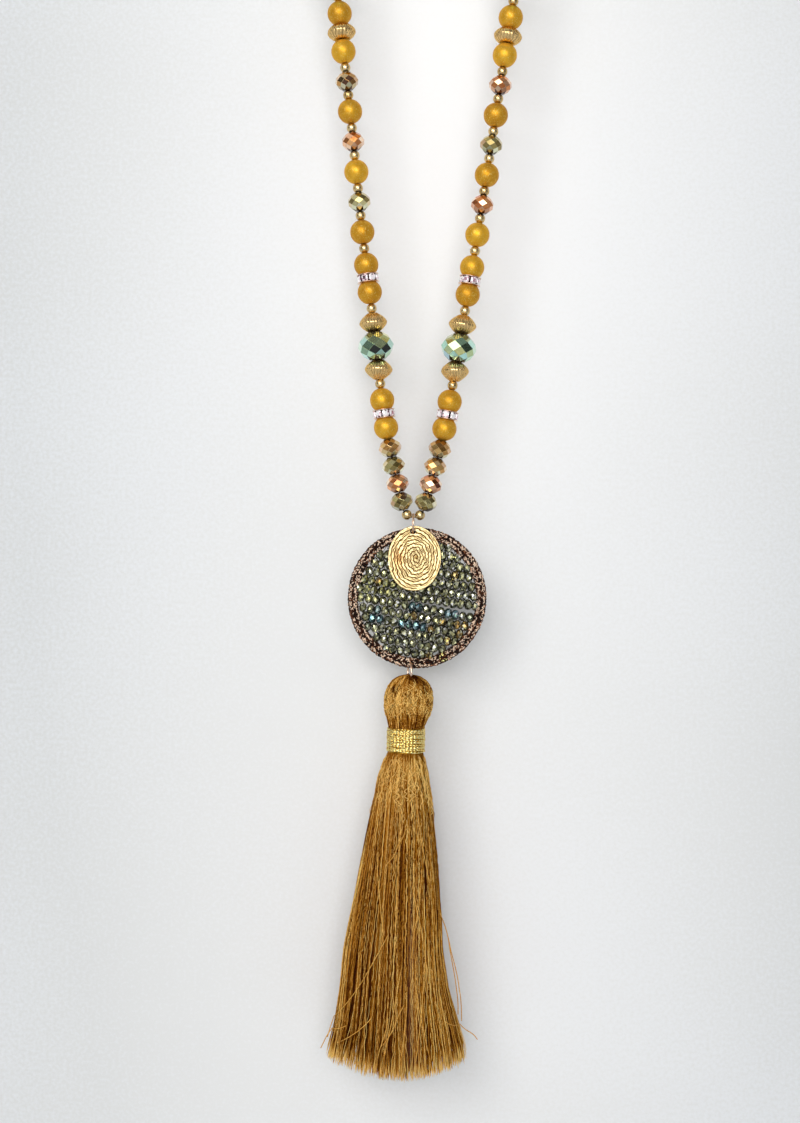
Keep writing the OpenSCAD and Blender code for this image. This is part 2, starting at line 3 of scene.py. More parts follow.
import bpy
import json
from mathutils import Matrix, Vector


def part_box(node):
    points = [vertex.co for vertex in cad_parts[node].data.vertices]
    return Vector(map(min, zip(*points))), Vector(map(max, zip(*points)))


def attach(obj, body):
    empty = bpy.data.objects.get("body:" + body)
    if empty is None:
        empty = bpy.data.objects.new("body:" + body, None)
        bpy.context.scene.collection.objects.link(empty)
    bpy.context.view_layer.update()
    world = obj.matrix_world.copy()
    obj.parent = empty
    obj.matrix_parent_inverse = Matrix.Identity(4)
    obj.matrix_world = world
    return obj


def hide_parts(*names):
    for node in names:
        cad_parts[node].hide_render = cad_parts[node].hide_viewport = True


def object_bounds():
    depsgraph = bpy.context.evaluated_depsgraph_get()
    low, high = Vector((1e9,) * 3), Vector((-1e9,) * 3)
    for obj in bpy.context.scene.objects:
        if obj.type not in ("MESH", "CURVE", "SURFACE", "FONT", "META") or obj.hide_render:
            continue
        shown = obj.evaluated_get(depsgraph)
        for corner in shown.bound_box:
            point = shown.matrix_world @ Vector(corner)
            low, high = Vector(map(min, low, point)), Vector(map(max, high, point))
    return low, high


bl_info = {
    "name": "Tassel Necklace",
    "version": (1, 0, 0),
    "blender": (4, 5, 0),
    "location": "3D View > Sidebar > Necklace",
    "description": "Dresses the solids of a bead necklace and sets up its stage",
    "category": "Add Mesh",
}

import json
import math
from contextlib import contextmanager

import bpy
import numpy as np
from mathutils import Vector
from mathutils.bvhtree import BVHTree

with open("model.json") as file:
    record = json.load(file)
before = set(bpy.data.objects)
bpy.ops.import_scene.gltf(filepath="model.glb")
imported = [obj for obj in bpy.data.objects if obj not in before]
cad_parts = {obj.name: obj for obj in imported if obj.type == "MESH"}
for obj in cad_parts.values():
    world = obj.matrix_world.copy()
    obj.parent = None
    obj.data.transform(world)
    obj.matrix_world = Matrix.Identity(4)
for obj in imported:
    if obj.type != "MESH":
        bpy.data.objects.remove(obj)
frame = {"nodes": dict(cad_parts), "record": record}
CAD_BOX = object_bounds()

MM = 0.001
TURN = 2 * math.pi


# Sizes and colours that a user would change

def srgb(code):
    """Linear colour of a hex code."""
    parts = [int(code[i:i + 2], 16) / 255 for i in (0, 2, 4)]
    return tuple(c / 12.92 if c <= 0.04045 else ((c + 0.055) / 1.055) ** 2.4 for c in parts)


def length(name, size, description, least=0.0):
    """A length property, given in millimetres."""
    return bpy.props.FloatProperty(
        name=name, description=description, default=size * MM, min=least, precision=5, unit="LENGTH")


def share(name, value, description):
    """A property between 0 and 1."""
    return bpy.props.FloatProperty(
        name=name, description=description, default=value, min=0, max=1, subtype="FACTOR")


def number(name, value, description):
    """A whole number of things."""
    return bpy.props.IntProperty(name=name, description=description, default=value, min=1)


def angle(name, degrees, description):
    """An angle property, given in degrees."""
    return bpy.props.FloatProperty(
        name=name, description=description, default=math.radians(degrees), unit="ROTATION")


def tint(name, code, description):
    """A colour property, given as a hex code."""
    return bpy.props.FloatVectorProperty(
        name=name, description=description, default=srgb(code), min=0, max=1, subtype="COLOR")


class NecklaceBeads(bpy.types.PropertyGroup):
    hole: length("Hole", 1.2, "Diameter of the hole through each bead")
    round_flat: length("Round bead flat", 2.2, "Diameter of the flat at each end of a round bead")
    spacer_flat: length("Spacer flat", 1.4, "Diameter of the flat at each end of a spacer bead")
    facet_bevel: length("Facet edge", 0.05, "Width of the softened edge between two facets")
    flute_count: number("Flutes", 27, "Flutes round a fluted bead")
    flute_depth: share("Flute depth", 0.055, "Depth of a flute as a share of the bead's radius")
    mustard: tint("Mustard", "E8B232", "Paint of the round beads")
    mustard_deep: tint("Deep mustard", "B67A1A", "Paint where the pearl grain is thin")
    gold: tint("Gold", "EAD09A", "Plate of the spacer beads")
    old_gold: tint("Old gold", "F0CC8C", "Plate of the fluted beads")
    # Dark tone in the grooves: the plate's antique darkening, and painted shade.
    patina_and_shade: tint("Patina", "6A4E22", "Dark tone in the grooves of the gold")
    rose: tint("Rose gold", "F6DEC8", "Plate of the rondelles and jump rings")


class NecklacePendant(bpy.types.PropertyGroup):
    wire: length("Ring wire", 0.75, "Diameter of a jump ring's wire")
    winding_pitch: length("Winding pitch", 0.46, "Distance between turns of the thread round the hoop")
    tuck: length("Tuck", 0.5, "Part of the band's width that lies under the row beads")
    stitch: length("Stitch", 1.5, "Length of one crochet stitch along the hoop")
    bead_width: length("Row bead width", 3.5, "Diameter of a bead in a row")
    bead_length: length("Row bead length", 2.42, "Length of a bead in a row")
    bead_pitch: length("Row bead pitch", 2.44, "Distance between beads along a row")
    ridge_pitch: length("Ridge pitch", 1.0, "Distance between turns of the charm's spiral")
    ridge_height: length("Ridge height", 0.25, "Height of the charm's spiral")
    charm_rim: length("Charm rim", 0.42, "Width of the smooth edge of the charm")
    charm_hole: length("Charm hole", 2.1, "Diameter of the charm's hole")
    charm_edge: length("Charm edge", 0.8, "Metal between the charm's hole and its top")
    lurex_brown: tint("Brown lurex", "401C0E", "Body colour of the thread round the hoop")
    lurex_copper: tint("Copper lurex", "A0623E", "Bright strands of the thread round the hoop")
    pale_gold: tint("Pale gold", "E8CC94", "Plate of the charm")


class NecklaceTassel(bpy.types.PropertyGroup):
    thread: length("Silk thread", 0.36, "Diameter of a silk thread")
    head_threads: number("Head threads", 1000, "Threads over the head")
    skirt_threads: number("Skirt threads", 2300, "Threads inside the skirt")
    skirt_strands: number("Skirt strands", 152, "Pairs of bright threads round the skirt")
    lurex: length("Lurex", 0.62, "Width of the metallic thread round the neck")
    lurex_turns: number("Lurex turns", 13, "Turns of metallic thread round the neck")
    # Threads on top are painted lighter and those deep in the tassel darker, as painted light and shade.
    silk_light: tint("Light silk", "D09440", "Silk thread that lies on top")
    silk: tint("Silk", "A86E1C", "Body colour of the silk")
    silk_dark: tint("Dark silk", "6C380C", "Silk thread deep in the tassel")
    lurex_gold: tint("Gold lurex", "FFDC7A", "Metallic thread round the neck")


class NecklaceStage(bpy.types.PropertyGroup):
    camera_side: length("Camera side", -4.05, "Camera's place along X", least=-1)
    camera_height: length("Camera height", -391.1, "Camera's place along Z", least=-1)
    camera_distance: length("Camera distance", 550, "Distance of the camera in front of the necklace")
    camera_roll: angle("Camera roll", 1.36, "Turn of the camera about its view, to the left")
    lens: bpy.props.FloatProperty(
        name="Lens", description="Focal length of the camera", default=53.24, min=1, unit="CAMERA")
    wall_back: length("Wall", 24, "Distance of the wall behind the strings")
    floor_drop: length("Floor", 45, "Distance of the floor below the tassel")
    wall_colour: tint("Wall colour", "CFD1D1", "Paint of the wall and floor")


class NecklaceSettings(bpy.types.PropertyGroup):
    beads: bpy.props.PointerProperty(type=NecklaceBeads)
    pendant: bpy.props.PointerProperty(type=NecklacePendant)
    tassel: bpy.props.PointerProperty(type=NecklaceTassel)
    stage: bpy.props.PointerProperty(type=NecklaceStage)


# Finishes

def rgba(colour):
    """A colour with its alpha, from a hex code or from three numbers."""
    return (*(srgb(colour) if isinstance(colour, str) else colour), 1)


class Wire:
    """A socket in a finish. Arithmetic on it adds Math nodes."""

    def __init__(self, finish, socket):
        self.finish = finish
        self.socket = socket

    def maths(self, operation, first, second):
        return self.finish.node("ShaderNodeMath", {"operation": operation}, {0: first, 1: second})

    def __add__(self, other):
        return self.maths("ADD", self, other)

    def __sub__(self, other):
        return self.maths("SUBTRACT", self, other)

    def __rsub__(self, other):
        return self.maths("SUBTRACT", other, self)

    def __mul__(self, other):
        return self.maths("MULTIPLY", self, other)

    __radd__ = __add__
    __rmul__ = __mul__


class Finish:
    """A material, or the light of the room, that is built from nodes."""

    def __init__(self, name, holder=None):
        self.holder = holder or bpy.data.materials.new(name)
        self.holder.use_nodes = True
        self.tree = self.holder.node_tree
        self.tree.nodes.clear()

    def node(self, kind, settings=None, sockets=None, out=0):
        """Adds a node. Its settings are set first, then the values or links of its sockets."""
        made = self.tree.nodes.new(kind)
        for name, value in (settings or {}).items():
            if name == "stops":
                self.set_stops(made.color_ramp.elements, value)
            else:
                setattr(made, name, value)
        for key, value in (sockets or {}).items():
            socket = made.inputs[key]
            if isinstance(value, Wire):
                self.tree.links.new(value.socket, socket)
            elif socket.type == "RGBA":
                socket.default_value = rgba(value)
            else:
                socket.default_value = value
        return Wire(self, made.outputs[out]) if made.outputs else None

    @staticmethod
    def set_stops(elements, stops):
        while len(elements) < len(stops):
            elements.new(1)
        for element, (place, colour) in zip(elements, stops):
            element.position = place
            element.color = rgba(colour)

    def place(self):
        return self.node("ShaderNodeTexCoord", out="Object")

    def value(self, name):
        """A number that the mesh holds."""
        return self.node("ShaderNodeAttribute", {"attribute_name": name}, out="Fac")

    def paint(self, name):
        """A colour that the mesh holds."""
        return self.node("ShaderNodeAttribute", {"attribute_name": name}, out="Color")

    def stretched(self, *scale):
        return self.node("ShaderNodeMapping", {}, {"Vector": self.place(), "Scale": scale})

    def noise(self, size, detail=2.0, vector=None, roughness=0.5):
        """Noise whose lumps have a size in millimetres."""
        vector = vector or self.place()
        return self.node("ShaderNodeTexNoise", {}, {
            "Vector": vector, "Scale": 1 / (size * MM), "Detail": detail, "Roughness": roughness})

    def ramp(self, factor, stops):
        return self.node("ShaderNodeValToRGB", {"stops": stops}, {"Fac": factor})

    def range(self, value, low, high, to_low=0.0, to_high=1.0):
        return self.node("ShaderNodeMapRange", {}, {
            "Value": value, "From Min": low, "From Max": high, "To Min": to_low, "To Max": to_high})

    def mix(self, factor, first, second, blend="MIX"):
        return self.node("ShaderNodeMix", {"data_type": "RGBA", "blend_type": blend},
                         {0: factor, 6: first, 7: second}, out=2)

    def vector(self, operation, first, second=None):
        """A number from one or two vectors."""
        sockets = {0: first} if second is None else {0: first, 1: second}
        return self.node("ShaderNodeVectorMath", {"operation": operation}, sockets, out="Value")

    def bump(self, height, distance, strength=1.0, over=None):
        """Bumps whose distance is in millimetres, over other bumps where they are given."""
        sockets = {"Height": height, "Distance": distance * MM, "Strength": strength}
        return self.node("ShaderNodeBump", {}, sockets | ({"Normal": over} if over else {}))

    def end(self, shader, kind="Material"):
        self.node("ShaderNodeOutput" + kind, {}, {"Surface": shader})
        return self.holder

    def shader(self, **sockets):
        """A Principled shader. Socket names have underscores for spaces."""
        return self.node("ShaderNodeBsdfPrincipled", {}, {
            name.replace("_", " "): value for name, value in sockets.items()})

    def finish(self, **sockets):
        return self.end(self.shader(**sockets))


# Meshes from arrays

def read(items, name, width=1, kind=float):
    """What Blender holds for each item of a mesh, in rows of a width."""
    numbers = np.empty(len(items) * width, kind)
    items.foreach_get(name, numbers)
    return numbers.reshape(-1, width) if width > 1 else numbers


def corners_of(mesh):
    return read(mesh.loops, "vertex_index", 1, np.int32).reshape(-1, 3)


def mark(mesh, name, numbers, domain):
    """Gives each point or each face of a mesh a number or a colour of its own."""
    if np.ndim(numbers) == 1:
        made, key = mesh.attributes.new(name, "FLOAT", domain), "value"
    else:
        made, key = mesh.attributes.new(name, "FLOAT_COLOR", domain), "color"
        numbers = np.append(numbers, np.ones((len(numbers), 1)), axis=1)
    made.data.foreach_set(key, np.asarray(numbers, np.float32).ravel())


def new_piece(name, points, faces, marks=None, smooth=True, sharp=None):
    """An object from arrays: points, lists of faces, and marks on its points, or on its faces if it is flat."""
    mesh = bpy.data.meshes.new(name)
    corners = np.concatenate([f.ravel() for f in faces]).astype(np.int32)
    sides = np.concatenate([np.full(len(f), f.shape[1]) for f in faces])
    mesh.vertices.add(len(points))
    mesh.vertices.foreach_set("co", np.ascontiguousarray(points, np.float32).ravel())
    mesh.loops.add(len(corners))
    mesh.loops.foreach_set("vertex_index", corners)
    mesh.polygons.add(len(sides))
    mesh.polygons.foreach_set("loop_start", np.concatenate([[0], np.cumsum(sides)[:-1]]).astype(np.int32))
    mesh.update(calc_edges=True)
    for key, numbers in (marks or {}).items():
        mark(mesh, key, numbers, "POINT" if smooth else "FACE")
    if smooth:
        mesh.shade_smooth()
        if sharp:
            mesh.set_sharp_from_angle(angle=math.radians(sharp))
    else:
        mesh.shade_flat()
    piece = bpy.data.objects.new(name, mesh)
    bpy.context.collection.objects.link(piece)
    return piece


def dress(piece, material, body, slot, *nodes):
    """Gives a piece its finish, and ties it to the frame."""
    piece.data.materials.clear()
    piece.data.materials.append(material)
    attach(piece, body)
    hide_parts(*nodes)


def select(*pieces):
    """Selects pieces alone, with the last one active."""
    bpy.ops.object.select_all(action="DESELECT")
    for piece in pieces:
        piece.select_set(True)
        bpy.context.view_layer.objects.active = piece


@contextmanager
def edit_mode():
    """Edit mode with everything selected."""
    bpy.ops.object.mode_set(mode="EDIT")
    bpy.ops.mesh.select_all(action="SELECT")
    yield
    bpy.ops.object.mode_set(mode="OBJECT")


def new_random(number):
    return np.random.default_rng(number)


def unit(vectors):
    return vectors / np.maximum(np.linalg.norm(vectors, axis=-1, keepdims=True), 1e-12)


def circle(sides, shift=0):
    """Angles of equal steps round a circle."""
    return (np.arange(sides) + shift) / sides * TURN


def around_axis(radius, a, z):
    return np.stack(np.broadcast_arrays(radius * np.cos(a), radius * np.sin(a), z), axis=-1)


def bell(offset, width):
    """1 at no offset, falling to 0 over a width."""
    return np.exp(-(offset / width) ** 2)


def held(values):
    """Values kept between 0 and 1."""
    return np.clip(values, 0, 1)


def grid_faces(rows, columns, close_rows=False):
    """Quads over a grid of points that is closed over its columns, and over its rows where asked."""
    row = np.arange(rows if close_rows else rows - 1)[:, None]
    column = np.arange(columns)[None, :]
    down, across = (row + 1) % rows, (column + 1) % columns
    return np.stack([row * columns + column, row * columns + across,
                     down * columns + across, down * columns + column], axis=-1).reshape(-1, 4)


def end_faces(rows, columns):
    """Faces that close a grid at its first and last row."""
    return [np.arange(columns)[None], (rows - 1) * columns + np.arange(columns)[::-1][None]]


def turned(profile, sides, cut=0.0):
    """A closed profile of radius and height turned round Z, with a cut taken off the radius."""
    profile = np.asarray(profile, float)
    points = around_axis(profile[:, :1] - cut, circle(sides), profile[:, 1:])
    return points.reshape(-1, 3), grid_faces(len(profile), sides, True)


def place_on(centre, axis, spin=0.0):
    """A place whose Z runs along an axis."""
    z = unit(np.asarray(axis, float))
    x = unit(np.cross(z, (0.0, 1.0, 0.0) if abs(z[1]) < 0.9 else (1.0, 0.0, 0.0)))
    x = x * math.cos(spin) + np.cross(z, x) * math.sin(spin)
    place = np.eye(4)
    place[:3, :3] = np.stack([x, np.cross(z, x), z], axis=1)
    place[:3, 3] = centre
    return place


def moved(points, place):
    return points @ place[:3, :3].T + place[:3, 3]


def joined(shapes):
    """Shapes as one: joined points, and joined faces of each kind."""
    starts = np.cumsum([0] + [len(points) for points, _ in shapes])
    kinds = zip(*(faces for _, faces in shapes))
    faces = [np.concatenate([each + start for each, start in zip(kind, starts)]) for kind in kinds]
    return np.concatenate([points for points, _ in shapes]), faces


def tubes(paths, radius, sides, up, closed=False, flat=1.0):
    """Tubes along many paths of equal length. up says which way the flat side of each faces."""
    count, steps = paths.shape[:2]
    along = np.roll(paths, -1, axis=1) - np.roll(paths, 1, axis=1) if closed else np.gradient(paths, axis=1)
    along = unit(along)
    side = unit(np.cross(along, np.broadcast_to(up, paths.shape)))
    out = np.cross(side, along)
    around = circle(sides)[:, None]
    radius = np.broadcast_to(radius, (count, steps))[..., None, None]
    ring = (side[:, :, None] * np.cos(around) + out[:, :, None] * np.sin(around) * flat) * radius
    points = (paths[:, :, None] + ring).reshape(-1, 3)
    start = (np.arange(count) * steps * sides)[:, None]
    faces = [(grid_faces(steps, sides, closed)[:, ::-1] + start[:, None]).reshape(-1, 4)]
    if not closed:
        faces += [start + np.arange(sides), start + (steps - 1) * sides + np.arange(sides)[::-1]]
    return points, faces


def tube_piece(name, paths, radius, sides, up, closed=False, flat=1.0, **marks):
    """Tubes as one piece, with marks for each step of the paths."""
    points, faces = tubes(paths, radius, sides, up, closed, flat)
    return new_piece(name, points, faces, {
        key: np.repeat(numbers.ravel(), sides) for key, numbers in marks.items()})


# Solids of the frame

def solids(node):
    """Points of each loose solid in a CAD node."""
    mesh = frame["nodes"][node].data
    points = read(mesh.vertices, "co", 3, np.float32)
    welded, same = np.unique(np.round(points, 6), axis=0, return_inverse=True)
    faces = same.ravel()[corners_of(mesh)]
    label = np.arange(len(welded))
    while True:
        lower = label.copy()
        np.minimum.at(lower, faces.ravel(), np.repeat(label[faces].min(axis=1), 3))
        if (lower == label).all():
            break
        label = lower
    return [welded[label == k].astype(float) for k in np.unique(label)]


def bead_frame(points):
    """Centre, hole direction, radius and half length of a round, drilled solid."""
    centre = points.mean(axis=0)
    spread, directions = np.linalg.eigh(np.cov((points - centre).T))
    odd = 0 if spread[1] - spread[0] > spread[2] - spread[1] else 2
    axis = directions[:, odd]
    axis = axis * (1 if axis[2] > 0 else -1)
    along = (points - centre) @ axis
    across = np.linalg.norm(points - centre - along[:, None] * axis, axis=1)
    return centre, axis, across.max(), np.abs(along).max()


def beads_of(*nodes):
    return [bead_frame(points) for node in nodes for points in solids(node)]


def nodes_named(word):
    return [name for name in frame["nodes"] if word in name]


# Painted beads and gold spacers

def ball_profile(radius, flat, hole, steps):
    """Profile of a ball with a hole and a softened flat at each end."""
    end = math.asin(flat / radius)
    arc = np.linspace(end, math.pi - end, steps)
    outside = np.stack([radius * np.sin(arc), -radius * np.cos(arc)], axis=1)
    reach = radius * math.cos(end)
    soften = (flat - hole) * 0.3
    bottom = np.array([[hole, -reach + soften], [hole + soften, -reach]])
    return np.concatenate([bottom, outside, (bottom * [1, -1])[::-1]])


def balls(name, node, slot, material, flat, hole, steps, sides, seed):
    """Drilled balls in place of a node's solids, each with a tone of its own."""
    random = new_random(seed)
    beads = beads_of(node)
    ball, faces = turned(ball_profile(beads[0][2], flat / 2, hole / 2, steps), sides)
    points, faces = joined([(moved(ball, place_on(centre, axis, random.uniform(0, TURN))), [faces])
                            for centre, axis, _, _ in beads])
    tone = np.repeat(random.uniform(0, 1, len(beads)), len(ball))
    dress(new_piece(name, points, faces, {"tone": tone}, sharp=50), material, "root", slot, node)


class NECKLACE_OT_painted_beads(bpy.types.Operator):
    """Round beads in pearly mustard paint"""
    bl_idname = "necklace.painted_beads"
    bl_label = "Painted Beads"

    def execute(self, context):
        sizes = context.scene.necklace.beads
        balls("painted_beads", "round_beads", "mustard_paint", pearl_paint(sizes),
              sizes.round_flat, sizes.hole, steps=20, sides=32, seed=1)
        return {"FINISHED"}


def pearl_paint(sizes):
    finish = Finish("pearl_paint")
    grain = finish.noise(0.26, 3, finish.stretched(1, 1, 0.4), 0.75)
    thin = finish.range(grain + finish.noise(2.6) * 0.5 + finish.value("tone") * 0.3, 0.6, 1.15)
    colour = finish.mix(thin, sizes.mustard, sizes.mustard_deep)
    # Pale yellow specks where the grain is high are painted highlights.
    colour = finish.mix(finish.range(grain, 0.54, 0.7, 0, 0.8), colour, "FFF48C")
    return finish.finish(Base_Color=colour, Metallic=0.5, Roughness=finish.range(grain, 0.3, 0.7, 0.36, 0.48),
                         Specular_IOR_Level=0.4, Specular_Tint="FFD878", Normal=finish.bump(grain, 0.02, 0.6))


class NECKLACE_OT_spacer_beads(bpy.types.Operator):
    """Small polished gold beads between the large ones"""
    bl_idname = "necklace.spacer_beads"
    bl_label = "Spacer Beads"

    def execute(self, context):
        sizes = context.scene.necklace.beads
        balls("spacer_beads_polished", "spacer_beads", "antique_gold", polished_gold(sizes),
              sizes.spacer_flat, sizes.hole, steps=13, sides=24, seed=2)
        return {"FINISHED"}


def polished_gold(sizes):
    finish = Finish("polished_gold")
    cloud = finish.noise(0.9, 3)
    worn = finish.range(cloud + finish.value("tone") * 0.3, 0.5, 0.95)
    return finish.finish(Base_Color=finish.mix(worn, sizes.gold, "C6A468"), Metallic=1.0,
                         Roughness=finish.range(cloud, 0.35, 0.7, 0.2, 0.32), Specular_Tint="A0804A",
                         Normal=finish.bump(finish.noise(0.5), 0.012, 0.4))


# Cut crystals

# Tints of the facets that look up, out, to a side and down. They are the coat's colours painted as reflections,
# chosen by the way each facet looks.
CRYSTAL_TINTS_AND_REFLECTIONS = {
    "olive_crystal": [["A89458", "948450", "BEAE74"], ["B0A468", "7C6C3C", "C8BE88", "94854E"],
                      ["C8B48A", "D8D0B0", "B8946C"], ["C4C6A4", "A8A884", "DADBC0"]],
    "copper_crystal": [["D88A50", "B8683A", "E8A878"], ["F0A468", "C07840", "E8B088", "A86030"],
                       ["E4B898", "D8A080", "F0D0B4"], ["C89A78", "E0BC9C", "A87858"]],
    "bronze_crystal": [["B88A4C", "9A6C34", "C8A468"], ["D0A462", "A87A3C", "E0C08A", "8E6430"],
                       ["D8B490", "E4CCA8", "C09870"], ["C4C09A", "B0A078", "D8D0AC"]],
    "green_crystal": [["94A074", "A4A87A", "7E9868", "CCCA7C"], ["9CB080", "7A987E", "B0C090", "C4C684"],
                      ["AED6C8", "C2E2CA", "9CCEBA"], ["A0CEC6", "9CC2D2", "B0D8B8", "8ABCA4"]],
}
# Dark painted reflections, and painted shade at the crystals' ends and in their holes.
DARK_REFLECTIONS_AND_SHADE = {
    "olive_crystal": "3A2812", "copper_crystal": "54230A",
    "bronze_crystal": "48280C", "green_crystal": "161C16",
}
# Facets of less than this area, in square metres, are bevelled edges.
LEAST_FACET = 0.12e-6


class NECKLACE_OT_crystals(bpy.types.Operator):
    """Cut glass beads with a metallic coat, one tint for each facet, painted with reflections and shade"""
    bl_idname = "necklace.crystals"
    bl_label = "Crystals"

    def execute(self, context):
        bevel = context.scene.necklace.beads.facet_bevel
        slots = {part["node"]: part["material_slot"] for part in frame["record"]["subparts"]}
        for number, slot in enumerate(CRYSTAL_TINTS_AND_REFLECTIONS):
            nodes = [node for node in frame["nodes"] if slots[node] == slot]
            piece = welded_copy(nodes, slot + "s")
            with edit_mode():
                bpy.ops.mesh.bevel(offset=bevel, segments=1, affect="EDGES", clamp_overlap=True)
            paint_facets(piece.data, slot, beads_of(*nodes), new_random(10 + number))
            dress(piece, cut_glass(slot), "root", slot, *nodes)
        return {"FINISHED"}


def welded_copy(nodes, name):
    """A welded copy of CAD nodes as one object, with the triangles of each flat face joined."""
    copies = [bpy.data.objects.new(name, frame["nodes"][node].data.copy()) for node in nodes]
    for copy in copies:
        bpy.context.collection.objects.link(copy)
    select(*copies)
    if len(nodes) > 1:
        bpy.ops.object.join()
    piece = bpy.context.view_layer.objects.active
    piece.name = name
    with edit_mode():
        bpy.ops.mesh.remove_doubles(threshold=0.002 * MM)
        bpy.ops.mesh.dissolve_limited(angle_limit=math.radians(1))
    piece.data.shade_flat()
    return piece


def paint_facets(mesh, slot, beads, random):
    """Gives each facet its own tint and its own share of metal. The tints are painted reflections chosen by the
    way each facet looks, with painted shade at the ends and in the hole and painted highlights on the bevelled
    edges.
    """
    count = len(mesh.polygons)
    normals = read(mesh.polygons, "normal", 3)
    centres = read(mesh.polygons, "center", 3)
    middles, axes, radii, lengths = (np.array(column) for column in zip(*beads))
    owner = np.argmin(np.linalg.norm(centres[:, None] - middles[None], axis=2), axis=1)
    axes = axes[owner]
    offset = centres - middles[owner]
    along = (offset * axes).sum(axis=1)
    across = np.linalg.norm(offset - along[:, None] * axes, axis=1)
    rise = (normals * axes).sum(axis=1)
    aside = -normals[:, 0] * np.sign(normals[:, 1])
    zone = np.where(rise > 0.5, 0, np.where(rise < -0.5, 3, np.where(np.abs(aside) > 0.72, 2, 1)))
    zones = [np.array([srgb(code) for code in codes]) for codes in CRYSTAL_TINTS_AND_REFLECTIONS[slot]]
    colour = np.empty((count, 3))
    for k, shades in enumerate(zones):
        chosen = zone == k
        colour[chosen] = shades[random.integers(0, len(shades), chosen.sum())]
    colour *= random.uniform(0.92, 1.26, (count, 1))
    dark = np.array(srgb(DARK_REFLECTIONS_AND_SHADE[slot]))
    facet = read(mesh.polygons, "area") > LEAST_FACET
    # Facets turned to the front right get dark painted reflections, and those turned to the front left a slight
    # painted highlight.
    away = (aside > 0.2) & (aside < 0.66) & (np.abs(rise) < 0.45)
    deep = facet & (random.uniform(0, 1, count) < np.where(away, 0.36, 0.02))
    near = (aside < -0.15) & (aside > -0.7) & (rise > -0.2) & ~deep
    colour[near] *= 1.05
    # The ends, where each crystal meets its neighbours, and the hole are painted dark as shade.
    ends = np.abs(along) > 0.8 * lengths[owner]
    inside = across < 0.3 * radii[owner]
    colour[deep] = dark * random.uniform(0.6, 1.5, (deep.sum(), 1))
    colour[ends] = dark * random.uniform(0.25, 1.4, (ends.sum(), 1))
    colour[inside] = dark * 0.3
    # The bevelled edges get the pale side tint as painted highlights.
    colour[~facet & ~ends & ~inside] = zones[2].mean(axis=0)
    mark(mesh, "facet", held(colour), "FACE")
    mark(mesh, "coat", np.where(deep | ends | inside, 0.35, random.uniform(0.7, 1.0, count)), "FACE")


def cut_glass(slot):
    finish = Finish(slot + "_glass")
    streak = finish.noise(1.1)
    light = finish.range(streak, 0.35, 0.7, 0, 0.35)
    return finish.finish(Base_Color=finish.mix(light, finish.paint("facet"), "FFFFFF", "SOFT_LIGHT"),
                         Metallic=finish.value("coat"), Roughness=finish.range(streak, 0.3, 0.7, 0.07, 0.16),
                         Coat_Weight=0.5, Coat_Roughness=0.05)


# Fluted metal beads

# Share of half the length, and share of the radius there, from the end flat to the girdle.
FLUTED_FORMS = {
    "bicone": [(1.0, 0.34), (0.84, 0.5), (0.66, 0.67), (0.42, 0.84), (0.2, 0.95), (0.07, 0.995), (0.0, 1.0)],
    "saucer": [(1.0, 0.59), (0.8, 0.73), (0.6, 0.85), (0.4, 0.92), (0.2, 0.97), (0.06, 1.0), (0.0, 1.0)],
}
SAUCER_FLUTES = 22


def fluted_profile(radius, half, hole, shares):
    """Profile of a fluted bead, from shares of half the length and of the radius."""
    heights, radii = zip(*shares)
    height = 1 - np.linspace(0, 1, 15) ** 1.2
    upper = np.stack([np.interp(-height, [-h for h in heights], radii) * radius, height * half], axis=1)
    upper[1:-1, 0] = (upper[:-2, 0] + 2 * upper[1:-1, 0] + upper[2:, 0]) / 4
    soften = 0.15 * MM
    top = np.array([[hole, half - soften], [hole + soften, half]])
    return np.concatenate([top, upper, (upper * [1, -1])[-2::-1], (top * [1, -1])[::-1]])[::-1]


def fluting(profile, half, depths, wander):
    """How deep each point of a fluted bead lies in its flute, from 0 to about 1."""
    flutes = len(depths)
    around = circle(flutes * 8)
    radii, heights = profile[:, :1], profile[:, 1:]
    lean = 0.2 * np.sin(heights / half * 2.2 + wander[0]) + 0.12 * np.sin(around * 3 + wander[1])
    phase = around * flutes / TURN + lean
    wave = (0.5 - 0.5 * np.cos(TURN * (phase % 1))) ** 0.6
    girdle = held(1 - np.abs(heights) / (0.3 * half))
    cut = (1 - wave) * depths[np.floor(phase).astype(int) % flutes] * (1 - 0.75 * girdle)
    cut = cut + 0.35 * girdle * (0.5 + 0.5 * np.sin(around * 7 + wander[2]))
    return cut * held((radii - 0.8 * MM) / (0.5 * MM))


class NECKLACE_OT_fluted_beads(bpy.types.Operator):
    """Fluted bicones and saucers in old gold"""
    bl_idname = "necklace.fluted_beads"
    bl_label = "Fluted Beads"

    def execute(self, context):
        sizes = context.scene.necklace.beads
        for kind, flutes, seed in (("bicone", sizes.flute_count, 3), ("saucer", SAUCER_FLUTES, 4)):
            random = new_random(seed)
            nodes = nodes_named(kind)
            shapes, grooves = [], []
            for centre, axis, radius, half in beads_of(*nodes):
                profile = fluted_profile(radius, half, sizes.hole / 2, FLUTED_FORMS[kind])
                groove = fluting(profile, half, random.uniform(0.6, 1.2, flutes), random.uniform(0, TURN, 3))
                points, faces = turned(profile, flutes * 8, sizes.flute_depth * radius * groove)
                shapes.append((moved(points, place_on(centre, axis, random.uniform(0, TURN))), [faces]))
                grooves.append(groove.ravel())
            marks = {"groove": np.concatenate(grooves)}
            piece = new_piece(f"fluted_{kind}s", *joined(shapes), marks, sharp=60)
            dress(piece, hammered_gold(sizes, kind), "root", "antique_gold", *nodes)
        return {"FINISHED"}


